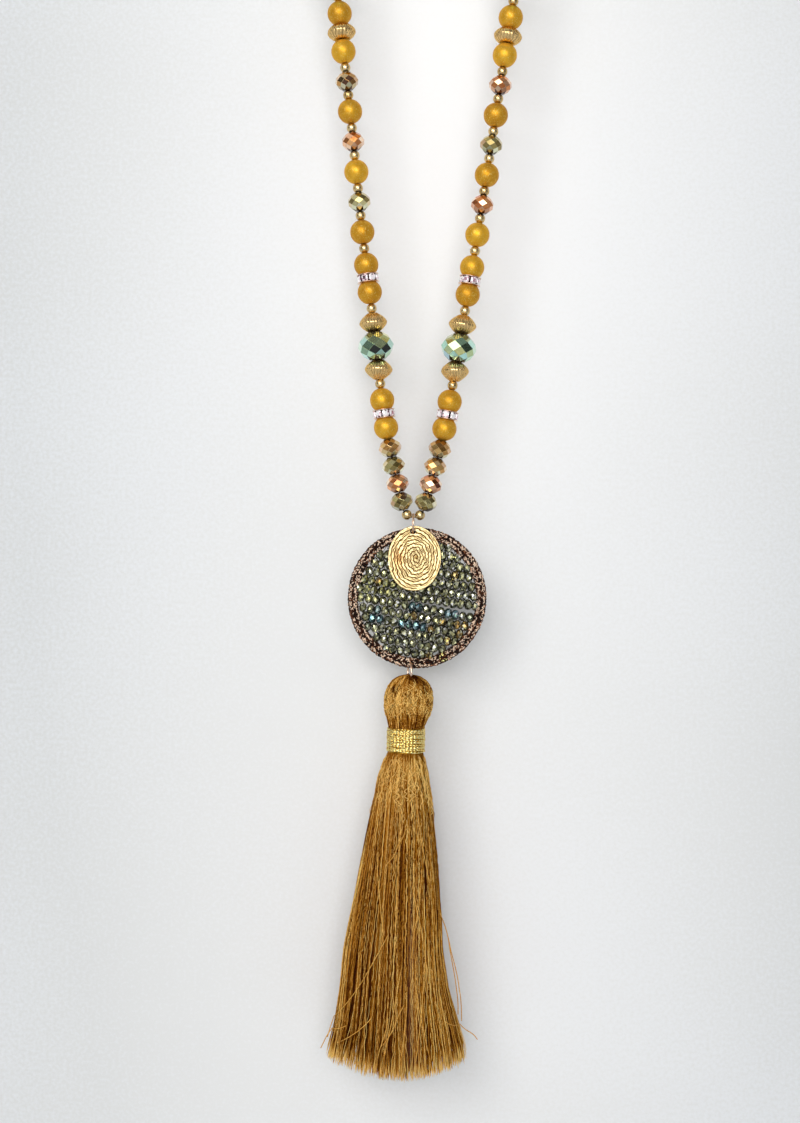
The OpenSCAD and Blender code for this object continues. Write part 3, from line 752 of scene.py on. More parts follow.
def hammered_gold(sizes, kind):
    finish = Finish(f"{kind}_gold")
    dents, fine = finish.noise(0.7, 3), finish.noise(0.2)
    # The gold darkens with the depth of each flute: antique darkening of the plate, and painted shade in the
    # grooves.
    dark = finish.range(finish.value("groove") * 1.1 + fine * 0.5, 0.7, 1.6, 0, 0.8)
    return finish.finish(Base_Color=finish.mix(dark, sizes.old_gold, sizes.patina_and_shade), Metallic=1.0,
                         Roughness=finish.range(dents, 0.3, 0.7, 0.2, 0.34), Specular_Tint="A98A54",
                         Normal=finish.bump(dents, 0.08, 0.6, finish.bump(fine, 0.02, 0.5)))


# Rhinestone rondelles

FLANGE = 0.26 * MM
STONE_SIDES = 8
# Colours of the stones' facets, and how often each comes. The white facets are painted glints and the dark ones
# painted dark reflections, scattered at random.
STONE_TINTS_AND_REFLECTIONS = {"FFF4F8": 0.17, "FFFFFF": 0.3, "F2C8D6": 0.13, "B88496": 0.11, "FFE6EE": 0.1, "4A2028": 0.08,
                "E8DCE8": 0.04, "7E4E5C": 0.07}


def ring_profile(inner, outer, low, high, steps=6):
    """Profile of a flat ring with a rounded outer edge."""
    middle, half = (low + high) / 2, (high - low) / 2
    bend = np.linspace(-math.pi / 2, math.pi / 2, steps)
    edge = np.stack([outer - half + half * np.cos(bend), middle + half * np.sin(bend)], axis=1)
    return np.concatenate([[[inner, low]], edge, [[inner, high]]])


def cut_stone(width, height, depth):
    """A stone that faces +X: table, star and crown facets, girdle and a pointed back."""
    rows = [(0.56, 0.3, 0.5), (0.9, 0.2, 1), (1.14, 0.02, 0.5), (1.14, -0.06, 0.5), (0.45, -0.5, 0.5)]
    points = []
    for size, out, shift in rows:
        a = circle(STONE_SIDES, shift)
        a = a + 0.2 * np.sin(4 * a)
        points.append(np.stack([np.full(STONE_SIDES, out * depth), size * width / 2 * np.cos(a),
                                size * height / 2 * np.sin(a)], axis=1))
    triangles, quads = [], []
    for i in range(STONE_SIDES):
        j = (i + 1) % STONE_SIDES
        triangles += [[i, 8 + i, j], [i, 16 + i, 8 + i], [8 + i, 16 + i, 16 + j], [j, 8 + i, 16 + j]]
        quads += [[16 + i, 24 + i, 24 + j, 16 + j], [24 + i, 32 + i, 32 + j, 24 + j]]
    return np.concatenate(points), [np.array(triangles), np.array(quads), *end_faces(5, STONE_SIDES)]


def setting_shapes(sizes, radius, half, angles):
    """Two flanges, and a core and a claw between each two stones, which are painted dark as shade."""
    shapes = [
        turned(ring_profile(2.3 * MM, radius, half - FLANGE, half), 56),
        turned(ring_profile(2.3 * MM, radius, -half, -half + FLANGE), 56),
        turned(ring_profile(sizes.hole / 2, radius - 0.75 * MM, 0.45 * MM - half, half - 0.45 * MM), 40),
    ]
    rise = [0, 0, half - FLANGE * 0.6]
    for turn in angles:
        between = turn + TURN / len(angles) / 2
        foot = np.array([math.cos(between), math.sin(between), 0]) * (radius - 0.4 * MM)
        points, faces = tubes(np.array([[foot - rise, foot * 0.97, foot + rise]]), 0.13 * MM, 6, unit(foot))
        shapes.append((points, faces[0]))
    return shapes


class NECKLACE_OT_rondelles(bpy.types.Operator):
    """Rose gold rondelles set with small cut stones"""
    bl_idname = "necklace.rondelles"
    bl_label = "Rondelles"

    def execute(self, context):
        sizes = context.scene.necklace.beads
        random = new_random(5)
        nodes = nodes_named("rhinestone")
        metal, shade, stones = [], [], []
        for node in nodes:
            parts = solids(node)
            setting = max(parts, key=lambda part: np.ptp(part, axis=0).max())
            centre, axis, radius, half = bead_frame(setting)
            place = place_on(centre, axis)
            local = [((part.min(axis=0) + part.max(axis=0)) / 2 - centre) @ place[:3, :3]
                     for part in parts if part is not setting]
            angles = sorted(math.atan2(spot[1], spot[0]) for spot in local)
            for number, (points, faces) in enumerate(setting_shapes(sizes, radius, half, angles)):
                metal.append((moved(points, place), [faces]))
                shade.append(np.full(len(points), 0.0 if number < 2 else 1.0))
            width = 2 * (radius - 0.35 * MM) * math.sin(TURN / len(angles) / 2) - 0.22 * MM
            for turn in angles:
                points, faces = cut_stone(width, 2 * (half - FLANGE), 1.3 * MM)
                points[:, 0] += radius - 0.5 * MM
                turn = turn + random.uniform(-0.04, 0.04)
                cos, sin = math.cos(turn), math.sin(turn)
                points = points @ np.array([[cos, sin, 0], [-sin, cos, 0], [0, 0, 1]])
                stones.append((moved(points, place), faces))
        piece = new_piece("rondelle_settings", *joined(metal), {"shade": np.concatenate(shade)}, sharp=45)
        dress(piece, rose_plate(sizes, "rondelle_rose"), "root", "rose_metal", *nodes)
        points, faces = joined(stones)
        shades = np.array([srgb(code) for code in STONE_TINTS_AND_REFLECTIONS])
        chosen = random.choice(len(shades), sum(len(kind) for kind in faces), p=list(STONE_TINTS_AND_REFLECTIONS.values()))
        piece = new_piece("rondelle_stones", points, faces, {"facet": shades[chosen]}, smooth=False)
        dress(piece, clear_stone(), "root", "clear_stone", *nodes)
        return {"FINISHED"}


def rose_plate(sizes, name):
    finish = Finish(name)
    cloud = finish.noise(0.7, 3)
    colour = finish.mix(finish.range(cloud, 0.4, 0.75), sizes.rose, "CC9474")
    # The core and claws between the stones are painted dark, as shade.
    colour = finish.mix(finish.value("shade"), colour, "2A1410")
    return finish.finish(Base_Color=colour, Metallic=1.0, Roughness=finish.range(cloud, 0.3, 0.7, 0.16, 0.3),
                         Normal=finish.bump(finish.noise(0.25), 0.012, 0.4))


def clear_stone():
    finish = Finish("clear_stone")
    glint = finish.range(finish.noise(0.5), 0.45, 0.75, 0, 0.35)
    return finish.finish(Base_Color=finish.mix(glint, finish.paint("facet"), "FFFFFF"), Metallic=0.25,
                         Roughness=0.08, Coat_Weight=1.0, Coat_Roughness=0.03)


# Thread and jump rings

class NECKLACE_OT_thread(bpy.types.Operator):
    """Waxed thread that strings the beads"""
    bl_idname = "necklace.thread"
    bl_label = "Stringing Thread"

    def execute(self, context):
        finish = Finish("waxed_thread")
        twist = finish.node("ShaderNodeTexWave", {"wave_type": "BANDS", "bands_direction": "DIAGONAL"}, {
            "Vector": finish.place(), "Scale": 900.0, "Distortion": 2.0, "Detail": 2.0})
        materials = frame["nodes"]["thread"].data.materials
        materials.clear()
        materials.append(finish.finish(Base_Color=finish.mix(twist, "2A1A0E", "5E4026"), Roughness=0.6,
                                       Normal=finish.bump(twist, 0.05, 0.8)))
        return {"FINISHED"}


class NECKLACE_OT_jump_rings(bpy.types.Operator):
    """Rose gold jump rings, each cut once"""
    bl_idname = "necklace.jump_rings"
    bl_label = "Jump Rings"

    def execute(self, context):
        wire = context.scene.necklace.pendant.wire
        material = rose_plate(context.scene.necklace.beads, "ring_rose")
        for node, body, gap_at in (("top_ring", "pendant", 70), ("lower_ring", "tassel", 205)):
            middle, axis, outer, _ = bead_frame(np.concatenate(solids(node)))
            axis = axis * (1 if axis[0] > 0 else -1)
            across = unit(np.cross((0.0, 0.0, 1.0), axis))
            start = math.radians(gap_at)
            out = across * math.cos(start) + np.array([0, 0, math.sin(start)])
            bpy.ops.object.select_all(action="DESELECT")
            bpy.ops.mesh.primitive_circle_add(
                vertices=14, radius=wire / 2, fill_type="NGON", location=middle + (outer - wire / 2) * out,
                rotation=(start, 0, math.atan2(axis[1], axis[0])))
            ring = bpy.context.object
            ring.name = f"{node}_wire"
            bpy.ops.object.transform_apply(location=True, rotation=True, scale=True)
            with edit_mode():
                bpy.ops.mesh.spin(
                    steps=72, angle=math.radians(357.6), center=middle, axis=axis, use_auto_merge=False)
                bpy.ops.mesh.select_all(action="SELECT")
                bpy.ops.mesh.normals_make_consistent(inside=False)
            bpy.ops.object.shade_smooth_by_angle(angle=math.radians(40))
            dress(ring, material, body, "rose_metal", node)
        return {"FINISHED"}


# Hoop

# The hoop is pulled a little longer than wide.
HOOP_SQUEEZE = 0.985
# Where the two cords of stitches lie, as shares of the band's width out from its middle.
CORDS = (0.31, -0.29)
BAND_CROWN = 1.1 * MM


def hoop_measures():
    """Centre, outer radius, band width and thickness of the hoop."""
    points = np.concatenate(solids("hoop"))
    low, high = points.min(axis=0), points.max(axis=0)
    centre = (low + high) / 2
    outer = (high[0] - low[0]) / 2
    inner = np.hypot(points[:, 0] - centre[0], points[:, 2] - centre[2]).min()
    return centre, outer, outer - inner, high[1] - low[1]


class NECKLACE_OT_hoop(bpy.types.Operator):
    """Hoop wound with metallic thread, with crochet stitches over the winding"""
    bl_idname = "necklace.hoop"
    bl_label = "Wrapped Hoop"

    def execute(self, context):
        sizes = context.scene.necklace.pendant
        centre, outer, band, thick = hoop_measures()
        band = band - sizes.tuck
        middle = outer - band / 2
        random = new_random(6)
        material = lurex_thread(sizes)
        lap = circle(10)
        hoop = ("pendant", "metallic_wrap", "hoop")

        def on_band(turn, out, front):
            """Points on the band, from the turn round the hoop and the distances out and to the front."""
            r = middle + out
            return np.stack([centre[0] + HOOP_SQUEEZE * r * np.cos(turn), centre[1] - front,
                             centre[2] + r * np.sin(turn)], axis=-1)

        # Core under the thread.
        core_radius = band / 2 - 0.5 * MM
        bpy.ops.object.select_all(action="DESELECT")
        bpy.ops.mesh.primitive_torus_add(
            location=centre, rotation=(math.radians(90), 0, 0), major_segments=128, minor_segments=16,
            major_radius=middle, minor_radius=core_radius)
        core = bpy.context.object
        core.name = "hoop_core"
        core.scale = (HOOP_SQUEEZE, 1, (thick / 2 - 0.4 * MM) / core_radius)
        bpy.ops.object.transform_apply(location=True, rotation=True, scale=True)
        bpy.ops.object.shade_smooth()
        dress(core, plain_thread("hoop_core_thread", 0.3, "1E120C", "4A2C1E", 0.8, 0.1), *hoop)

        # Winding: one thread round and round the band.
        turns = int(TURN * middle / sizes.winding_pitch)
        steps = 12
        s = np.arange(turns * steps)
        turn = s / (turns * steps) * TURN + random.normal(0, 0.003, len(s))
        roll = s / steps * TURN
        wobble = random.normal(0, 0.05 * MM, len(s))
        path = on_band(turn, (band / 2 - 0.42 * MM + wobble) * np.cos(roll),
                       (thick / 2 - 0.36 * MM + wobble) * np.sin(roll))
        radial = np.stack([np.cos(turn), np.zeros(len(turn)), np.sin(turn)], axis=-1)
        up = unit(radial * np.cos(roll)[:, None] + np.array([0, -1, 0]) * np.sin(roll)[:, None])
        dress(tube_piece("hoop_winding", path[None], 0.22 * MM, 5, up[None], True,
                         tone=random.uniform(0, 0.45, len(s))), material, *hoop)

        # Crochet: two cords of slanted loops on each face, with a dark gap between them.
        loops, ups, tones = [], [], []
        for face in (1, -1):
            for cord, hand in zip(CORDS, (1, -1)):
                out = cord * band
                count = int(TURN * (middle + out) / (sizes.stitch * 0.56))
                start = (np.arange(count) + random.normal(0, 0.12, count)) / count * TURN
                for leg in (-1, 1):
                    size = random.uniform(0.85, 1.2, (count, 1))
                    along = np.cos(lap) * sizes.stitch * 0.5 * size
                    wide = np.sin(lap) * 0.2 * MM * random.uniform(0.7, 1.5, (count, 1))
                    slant = leg * hand * np.cos(lap) * 0.36 * MM * size
                    rise = random.uniform(-0.05, 0.16, (count, 1)) * MM + 0.14 * MM * np.sin(lap + leg)
                    front = face * (thick * 0.5 - 0.16 * MM - BAND_CROWN * cord ** 2 + rise)
                    turn = start[:, None] + (along + leg * 0.2 * sizes.stitch) / middle
                    loops.append(on_band(turn, out + leg * 0.26 * MM + wide + slant, front))
                    ups.append(np.broadcast_to([0.001, -face, 0.001], loops[-1].shape))
                    bright = random.uniform(0, 0.75, (count, 1)) ** 1.4
                    tones.append(np.clip(bright + random.normal(0, 0.25, (count, 10)), 0, 0.85))
        dress(tube_piece("hoop_stitches", np.concatenate(loops), 0.13 * MM, 4, np.concatenate(ups), True,
                         tone=np.concatenate(tones)), material, *hoop)

        # Ragged outer and inner edges: small loops that stand out from the band.
        edges = []
        for out, hand in ((band / 2 - 0.2 * MM, 1), (-band / 2 + 0.2 * MM, -1)):
            count = int(TURN * (middle + out) / (0.95 * MM))
            start = circle(count) + random.normal(0, 0.012, count)
            for depth in (-0.3, 0.28):
                reach = random.uniform(0.4, 1.6, (count, 1)) * 0.26 * MM
                turn = start[:, None] + np.cos(lap) * 0.5 * MM / middle + depth * 0.02
                front = depth * thick + 0.26 * MM * np.cos(lap) * hand * np.ones((count, 1))
                edges.append(on_band(turn, out + hand * reach * (0.4 + np.sin(lap)), front))
        edges = np.concatenate(edges)
        dress(tube_piece("hoop_edge_loops", edges, 0.11 * MM, 4, (0, 1.0, 0.001), True,
                         tone=random.uniform(0, 1, edges.shape[:2]) ** 1.3), material, *hoop)

        # Flecks: short strokes of thread on both faces, painted near white as highlights on the metallic
        # thread. A few golden ones lie at the lower right, painted bright gold as highlights.
        count = 1900
        turn = random.uniform(0, TURN, (count, 1))
        out = random.choice(CORDS, (count, 1)) * band + random.normal(0, 0.34, (count, 1)) * MM
        step = np.linspace(-0.5, 0.5, 4)
        reach = random.uniform(0.25, 0.7, (count, 1)) * MM
        way = np.sign(out) * random.choice([0.9, -0.5, 0.2], (count, 1)) + random.normal(0, 0.25, (count, 1))
        face = random.choice([-1, 1], (count, 1))
        rise = (0.08 + 0.1 * np.cos(step * math.pi)) * MM
        front = face * (thick * 0.5 - BAND_CROWN * (out / band) ** 2 + rise)
        path = on_band(turn + step * reach / middle, out + way * step * reach, front)
        up = np.stack(np.broadcast_arrays(0 * front, -face, 0.001), axis=-1)
        golden = (np.abs(turn[:, 0] - math.radians(295)) < 0.07) & (face[:, 0] > 0)
        tone = random.uniform(1.1, 2.9, (count, 1)) + random.normal(0, 0.2, (count, 4))
        gold = gold_lurex(context.scene.necklace.tassel)
        for name, chosen, finish in (("flecks", ~golden, material), ("golden_flecks", golden, gold)):
            dress(tube_piece(f"hoop_{name}", path[chosen], 0.165 * MM, 3, up[chosen], tone=tone[chosen]),
                  finish, *hoop)
        return {"FINISHED"}


def plain_thread(name, size, dark, light, roughness, depth):
    """Dull thread in two tones."""
    finish = Finish(name)
    weave = finish.noise(size)
    return finish.finish(Base_Color=finish.mix(weave, dark, light), Roughness=roughness,
                         Normal=finish.bump(weave, depth))


def lurex_thread(sizes):
    finish = Finish("brown_copper_lurex")
    sparkle = finish.noise(0.26, roughness=0.75)
    light = finish.range(sparkle * 1.5 + finish.value("tone") * 1.1, 0.9, 2.3)
    # The brightest tones, pale and barely metallic, are painted highlights on the thread.
    colour = finish.ramp(light, [(0.0, "140704"), (0.28, sizes.lurex_brown), (0.52, sizes.lurex_copper),
                                 (0.66, "F4B484"), (0.78, "FFE2C6")])
    return finish.finish(Base_Color=colour, Metallic=finish.range(light, 0.5, 0.85, 0.8, 0.1), Roughness=0.32,
                         Normal=finish.bump(sparkle, 0.08, 0.7))


# Rows of small beads

ROW_SHADES = ["C8C6A4", "9E9A6E", "7E7C58", "5C5E4A", "44483C", "E6E4CC", "8C8E78", "A8A478"]
ROW_BLUES = ["4C6C78", "7C9CA4", "34484E", "9CB4BA", "5E7A6C", "5C6464"]
ROW_GOLDS = ["D6BC7C", "A88A4C", "EEDCAC", "84683A", "4A3E24"]
# The row under the gap at the right, counted from the top.
PARTED_ROW = 7


def row_bead(radius, half, sides=9):
    """A faceted bead with its hole along Z: an end ring, two rows of facets and a broken girdle."""
    levels = [(0.48, -1.0, 0), (0.89, -0.6, 0.5), (1.0, 0.0, 0), (0.89, 0.6, 0.5), (0.48, 1.0, 0)]
    points = [around_axis(size * radius, circle(sides, shift), height * half)
              for size, height, shift in levels]
    triangles = []
    for k in range(4):
        low, high = k * sides, (k + 1) * sides
        for i in range(sides):
            j = (i + 1) % sides
            if levels[k][2] == 0:
                triangles += [[low + i, low + j, high + i], [low + j, high + j, high + i]]
            else:
                triangles += [[low + i, low + j, high + j], [low + i, high + j, high + i]]
    ends = np.array([np.arange(sides)[::-1], 4 * sides + np.arange(sides)])
    return np.concatenate(points), [np.array(triangles), ends]


class NECKLACE_OT_bead_rows(bpy.types.Operator):
    """Rows of small faceted beads strung across the hoop"""
    bl_idname = "necklace.bead_rows"
    bl_label = "Bead Rows"

    def execute(self, context):
        sizes = context.scene.necklace.pendant
        random = new_random(7)
        centre, outer, band, _ = hoop_measures()
        inner = outer - band + sizes.tuck
        rows = sorted((middle for middle, _, _, _ in beads_of("bead_rows")), key=lambda middle: -middle[2])
        # The rows lie square to the line through their middles.
        down = unit(rows[-1] - rows[0])
        axis = np.array([-down[2], 0, down[0]])
        across = np.array([-axis[2], 0, axis[0]])
        pitch = sizes.bead_pitch
        places, shades, threads, laces = [], [], [], []
        for number, middle in enumerate(rows):
            offset = (middle - centre) @ across
            middle = middle + across * offset * 0.03
            half = math.sqrt(inner ** 2 - (offset * 1.03) ** 2) + 0.1 * MM
            reach = (np.arange(-12, 13) + 0.5 * (number % 2)) * pitch
            for at in reach[np.abs(reach) < half - 0.25 * pitch]:
                spot = middle + axis * (at + random.normal(0, 0.05 * MM)) + across * (
                    row_sag(number, at / half) + random.normal(0, 0.06 * MM))
                spot[1] += random.normal(0, 0.12 * MM)
                place = place_on(spot, axis + random.normal(0, 0.13, 3), random.uniform(0, TURN))
                place[:3, :3] *= random.uniform(0.94, 1.03)
                places.append(place)
                shades.append(row_shade(spot, centre, random))
            ends = np.linspace(-1, 1, 9)
            sag = np.array([row_sag(number, end) for end in ends])
            threads.append(middle + axis * (ends * (half + 0.5 * MM))[:, None] + across * sag[:, None])
            if number:
                # Lace: thread that runs to and fro between a row and the one above it, behind the beads.
                along = np.linspace(-half, half if number != PARTED_ROW else -0.05 * half, 97)
                step = (middle - threads[-2].mean(axis=0)) @ across
                swing = step * (np.sin(along / pitch * TURN) * 0.42 - 0.5)
                laces.append(middle + axis * along[:, None] + across * swing[:, None] + [0, 0.75 * MM, 0])
        bead, kinds = row_bead(sizes.bead_width / 2, sizes.bead_length / 2)
        points, (triangles, ends) = joined([(moved(bead, place), kinds) for place in places])
        corners = points[triangles]
        # Painted light and shade: facets that look to the front or back are lit, facets turned aside are
        # painted dark as shade, and the beads' ends, where they meet, are near black as painted shade.
        facing = np.abs(unit(np.cross(corners[:, 1] - corners[:, 0], corners[:, 2] - corners[:, 0]))[:, 1])
        faces = len(kinds[0])
        colours = []
        for shade, turned_out in zip(shades, facing.reshape(len(places), faces, 1)):
            tone_and_painted_light = np.exp(random.normal(-0.1, 0.9, (faces, 1))) * (0.06 + 1.22 * turned_out ** 1.4)
            colours.append(shade[random.integers(0, len(shade), faces)] * np.clip(tone_and_painted_light, 0.01, 3.4))
        colours = held(np.concatenate(colours + [np.full((len(ends), 3), 0.012)]))
        piece = new_piece("row_beads", points, [triangles, ends], {"facet": colours}, smooth=False)
        dress(piece, row_glass(), "pendant", "dark_seed_beads", "bead_rows")
        material = plain_thread("row_thread_brown", 0.15, "2A211A", "7A6452", 0.6, 0.03)
        for name, paths, radius in (("row_threads", threads, 0.17 * MM), ("row_laces", laces, 0.12 * MM)):
            dress(tube_piece(name, np.array(paths), radius, 5, (0, 1, 0)),
                  material, "pendant", "metallic_wrap", "bead_rows")
        return {"FINISHED"}


def row_sag(number, at):
    """How far a row strays from its line at a place between -1 and 1. Two rows part towards the right."""
    spread = max(0.0, at + 0.1) ** 1.3
    if number < PARTED_ROW:
        return max(0.0, 0.62 - 0.1 * (PARTED_ROW - 1 - number)) * spread * MM
    return -max(0.0, 0.5 - 0.1 * (number - PARTED_ROW)) * spread * MM


def row_shade(spot, centre, random):
    """Shades of one bead: mostly olive, some blue in the lower middle, some golden at the lower right."""
    x, z = (spot[0] - centre[0]) / MM, (spot[2] - centre[2]) / MM
    blue = math.exp(-((x + 4) / 13) ** 2 - ((z + 6) / 5) ** 2)
    gold = math.exp(-((x - 9) / 7) ** 2 - ((z + 10) / 4) ** 2)
    olive = math.exp(-((x + 12) / 9) ** 2 - ((z - 3) / 8) ** 2)
    pick = random.uniform(0, 1) - 0.45 * blue
    codes = ROW_BLUES if pick < 0 else ROW_GOLDS if pick < 0.35 * gold + 0.05 else ROW_SHADES
    return np.array([srgb(code) for code in codes]) * [1 + 0.1 * olive, 1 + 0.08 * olive, 1 - 0.14 * olive]


def row_glass():
    finish = Finish("row_glass")
    cloud = finish.range(finish.noise(0.6), 0.45, 0.7, 0, 0.6)
    return finish.finish(Base_Color=finish.mix(cloud, finish.paint("facet"), "1C1E19", "MULTIPLY"),
                         Metallic=0.7, Roughness=0.22, Coat_Weight=0.06, Coat_Roughness=0.05)


# Charm

class NECKLACE_OT_charm(bpy.types.Operator):
    """Oval charm with a hammered spiral"""
    bl_idname = "necklace.charm"
    bl_label = "Charm"

    def execute(self, context):
        sizes = context.scene.necklace.pendant
        low, high = (np.array(corner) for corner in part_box("charm"))
        centre = (low + high) / 2
        half_w, half_h = (high[0] - low[0]) / 2, (high[2] - low[2]) / 2
        a = circle(260)
        wave = 0.992 + 0.007 * np.sin(2 * a + 0.7) + 0.004 * np.sin(3 * a + 2) + 0.003 * np.sin(5 * a)
        rim = 1 - sizes.charm_rim / half_w
        over_rim = rim + (1 - rim) * np.array([0.12, 0.3, 0.6, 0.85, 0.96, 1])
        reach = np.append(np.linspace(0.006, 1, 120) * rim, over_rim)
        reach = reach[:, None] * np.ones((1, len(a)))

        # Spiral: its crests, the beats of the hammer on them, and a thin second line in some grooves.
        drift = 0.2 * np.sin(a * 2 + 1.0) + 0.14 * np.sin(a * 5 + 2 + 9 * reach) \
            + 0.12 * np.sin(a * 9 + 17 * reach) + 0.08 * np.sin(a * 23 + 31 * reach)
        phase = reach * half_w / sizes.ridge_pitch - a / TURN + drift * np.clip(reach * 4, 0.2, 1)
        ridge = held((0.5 + 0.5 * np.cos(TURN * phase)) * 5 - 0.42)
        beat = np.sin(a * 47 + 5 * np.sin(TURN * phase / 3)) * np.sin(a * 19 + 13 * reach)
        patch = 0.5 + 0.5 * np.sin(a * 3 + 11 * reach + 2 * np.sin(a * 2))
        second = bell(phase + 0.5 - np.floor(phase + 0.5) - 0.5, 0.09)
        second = second * held(2.2 * np.sin(a * 2 + 23 * reach + 1) * np.sin(a * 5 - 14 * reach) + 0.3)

        # Height of the face, with a smooth uneven rim.
        inside = held((rim - reach) / 0.02)
        height = inside * (ridge * (0.78 + 0.13 * beat + 0.2 * patch) - 0.5 * second) + (1 - inside) * 0.55
        edge = held((reach - rim) / (1 - rim))
        uneven = 0.72 + 0.16 * np.sin(a * 11 + 2 * np.sin(a * 3)) * np.sin(a * 4 + 1) + 0.08 * beat
        height = np.where(edge > 0, uneven * np.sqrt(held(1 - edge ** 4)), height)

        def oval(reach, depth, shift):
            """Points at a share of the charm's outline, shifted to the spiral's own middle."""
            return np.stack(np.broadcast_arrays(
                centre[0] + half_w * reach * np.cos(a) * wave + 0.6 * MM * shift, depth,
                centre[2] + half_h * reach * np.sin(a) * wave + 0.3 * MM * shift), axis=-1)

        front = oval(reach, low[1] + 0.25 * MM - sizes.ridge_height * height, (1 - reach) ** 0.8)
        behind = high[1] - np.array([0.12, 0.02, 0, 0, 0])[:, None] * MM
        rear = oval(np.array([1.0, 0.985, 0.9, 0.5, 0.02])[:, None], behind, 0)
        grid = np.concatenate([front, rear])
        points = grid.reshape(-1, 3)
        rim_groove = 0.2 + 0.9 * held(edge - 0.8) * 4 - 0.25 * beat
        groove = inside * np.maximum(1 - ridge * (0.85 + 0.15 * beat), second) + (1 - inside) * rim_groove
        groove = np.concatenate([groove, np.full((len(rear), len(a)), 0.3)])
        warm = np.exp(-((points[:, 0] - centre[0] + 5.2 * MM) / (1.9 * MM)) ** 2
                      - ((points[:, 2] - centre[2] + 0.4 * MM) / (3.2 * MM)) ** 2)
        size = grid.shape[:2]
        piece = new_piece("charm_spiral", points, [grid_faces(*size)] + end_faces(*size),
                          {"groove": groove.ravel(), "warm": warm})
        select(piece)
        with edit_mode():
            bpy.ops.mesh.normals_make_consistent(inside=False)

        # The hole lies where the CAD solid has it.
        ring_low, ring_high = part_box("top_ring")
        radius = sizes.charm_hole / 2
        bpy.ops.mesh.primitive_cylinder_add(
            vertices=40, radius=radius, depth=4 * MM, rotation=(math.radians(90), 0, 0),
            location=(ring_low.lerp(ring_high, 0.5).x, centre[1], high[2] - sizes.charm_edge - radius))
        hole = bpy.context.object
        select(piece)
        cut = piece.modifiers.new("hole", "BOOLEAN")
        cut.operation = "DIFFERENCE"
        cut.object = hole
        bpy.ops.object.modifier_apply(modifier=cut.name)
        bpy.data.objects.remove(hole)
        bpy.ops.object.shade_smooth_by_angle(angle=math.radians(75))
        dress(piece, relief_gold(sizes), "pendant", "pale_gold", "charm")
        return {"FINISHED"}


def relief_gold(sizes):
    finish = Finish("relief_gold")
    fine, dents = finish.noise(0.14), finish.noise(0.5, 3)
    dark = finish.range(finish.value("groove") + fine * 0.4 + dents * 0.4 - 0.4, 0, 1)
    # The palest stop, on the crests where the noise is low, is a painted highlight.
    colour = finish.ramp(dark, [(0.0, "F4E2AA"), (0.3, sizes.pale_gold), (0.62, "AE8848"), (1.0, "5A3E1A")])
    colour = finish.mix(finish.value("warm") * 0.6, colour, "E8A85C", "MULTIPLY")
    return finish.finish(Base_Color=colour, Metallic=0.9, Roughness=finish.range(dents, 0.3, 0.7, 0.34, 0.5),
                         Normal=finish.bump(dents, 0.07, 0.8, finish.bump(fine, 0.03, 0.6)))


# Tassel

# Length of a ray that reaches the tassel from outside.
RAY = 40 * MM


def grid_at(grid, row, a, soft=False):
    """Values of a grid of rows and angles, at places between them."""
    steps, sides = grid.shape
    low = np.floor(row).astype(int)
    high = np.minimum(low + 1, steps - 1)
    column = a / TURN * sides % sides
    left = np.floor(column).astype(int) % sides
    right = (left + 1) % sides
    down, over = row - low, column - np.floor(column)
    if soft:
        over = over * over * (3 - 2 * over)
    upper = grid[low, left] * (1 - over) + grid[low, right] * over
    lower = grid[high, left] * (1 - over) + grid[high, right] * over
    return upper * (1 - down) + lower * down


class Form:
    """Outer radius of the tassel's CAD solid for each height and angle, read with rays towards its axis."""

    def __init__(self, levels, sides=176):
        mesh = frame["nodes"]["tassel"].data
        points = read(mesh.vertices, "co", 3, np.float32)
        tree = BVHTree.FromPolygons(points.tolist(), corners_of(mesh).tolist())
        self.levels = levels
        radius = np.zeros((len(levels), sides))
        for row, z in enumerate(levels):
            for column, a in enumerate(circle(sides)):
                out = Vector((math.cos(a), math.sin(a), 0))
                spot = tree.ray_cast(Vector((0, 0, z)) + out * RAY, -out, RAY)[0]
                radius[row, column] = math.hypot(spot[0], spot[1]) if spot else 0.0
        for row in range(1, len(levels)):
            empty = radius[row] == 0
            radius[row, empty] = radius[row - 1, empty]
        # The silk spreads over the grooves between the locks.
        waves = np.fft.rfft(radius, axis=1)
        waves[:, 7:] = 0
        self.radius = np.fft.irfft(waves, sides, axis=1) * 1.02

    def at(self, z, a):
        """Radius at heights and angles, between the rows and columns that were read."""
        order = np.argsort(self.levels)
        return grid_at(self.radius, np.interp(z, self.levels[order], order.astype(float)), a)


def tassel_levels():
    """Heights of the tassel: top, top and foot of the binding, and hem."""
    low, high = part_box("tassel")
    bind_low, bind_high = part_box("binding")
    return high.z, bind_high.z, bind_low.z, low.z


def tangle(random, count, steps, size, waves):
    """Small smooth sideways wander along each of many threads."""
    t = np.linspace(0, 1, steps)
    wander = np.zeros((count, steps))
    for wave in waves:
        beat = wave * random.uniform(0.7, 1.3, (count, 1))
        swing = random.normal(0, 1, (count, 1)) / wave ** 0.7
        wander += swing * np.sin(TURN * (t * beat + random.uniform(0, 1, (count, 1))))
    return wander * size


def clumps(random, steps, sides):
    """Wavy tufts round the tassel: a function of the share of the height and the angle, about -1 to 1."""
    values = random.normal(0, 0.6, (steps, sides))
    values = 0.5 * values + 0.5 * values[:1]
    return lambda t, a: grid_at(values, held(t) * (steps - 1), a, soft=True)


def off_line(a, line):
    """How far angles lie from a line, up to half a turn to each side."""
    return (a - line + math.pi) % TURN - math.pi


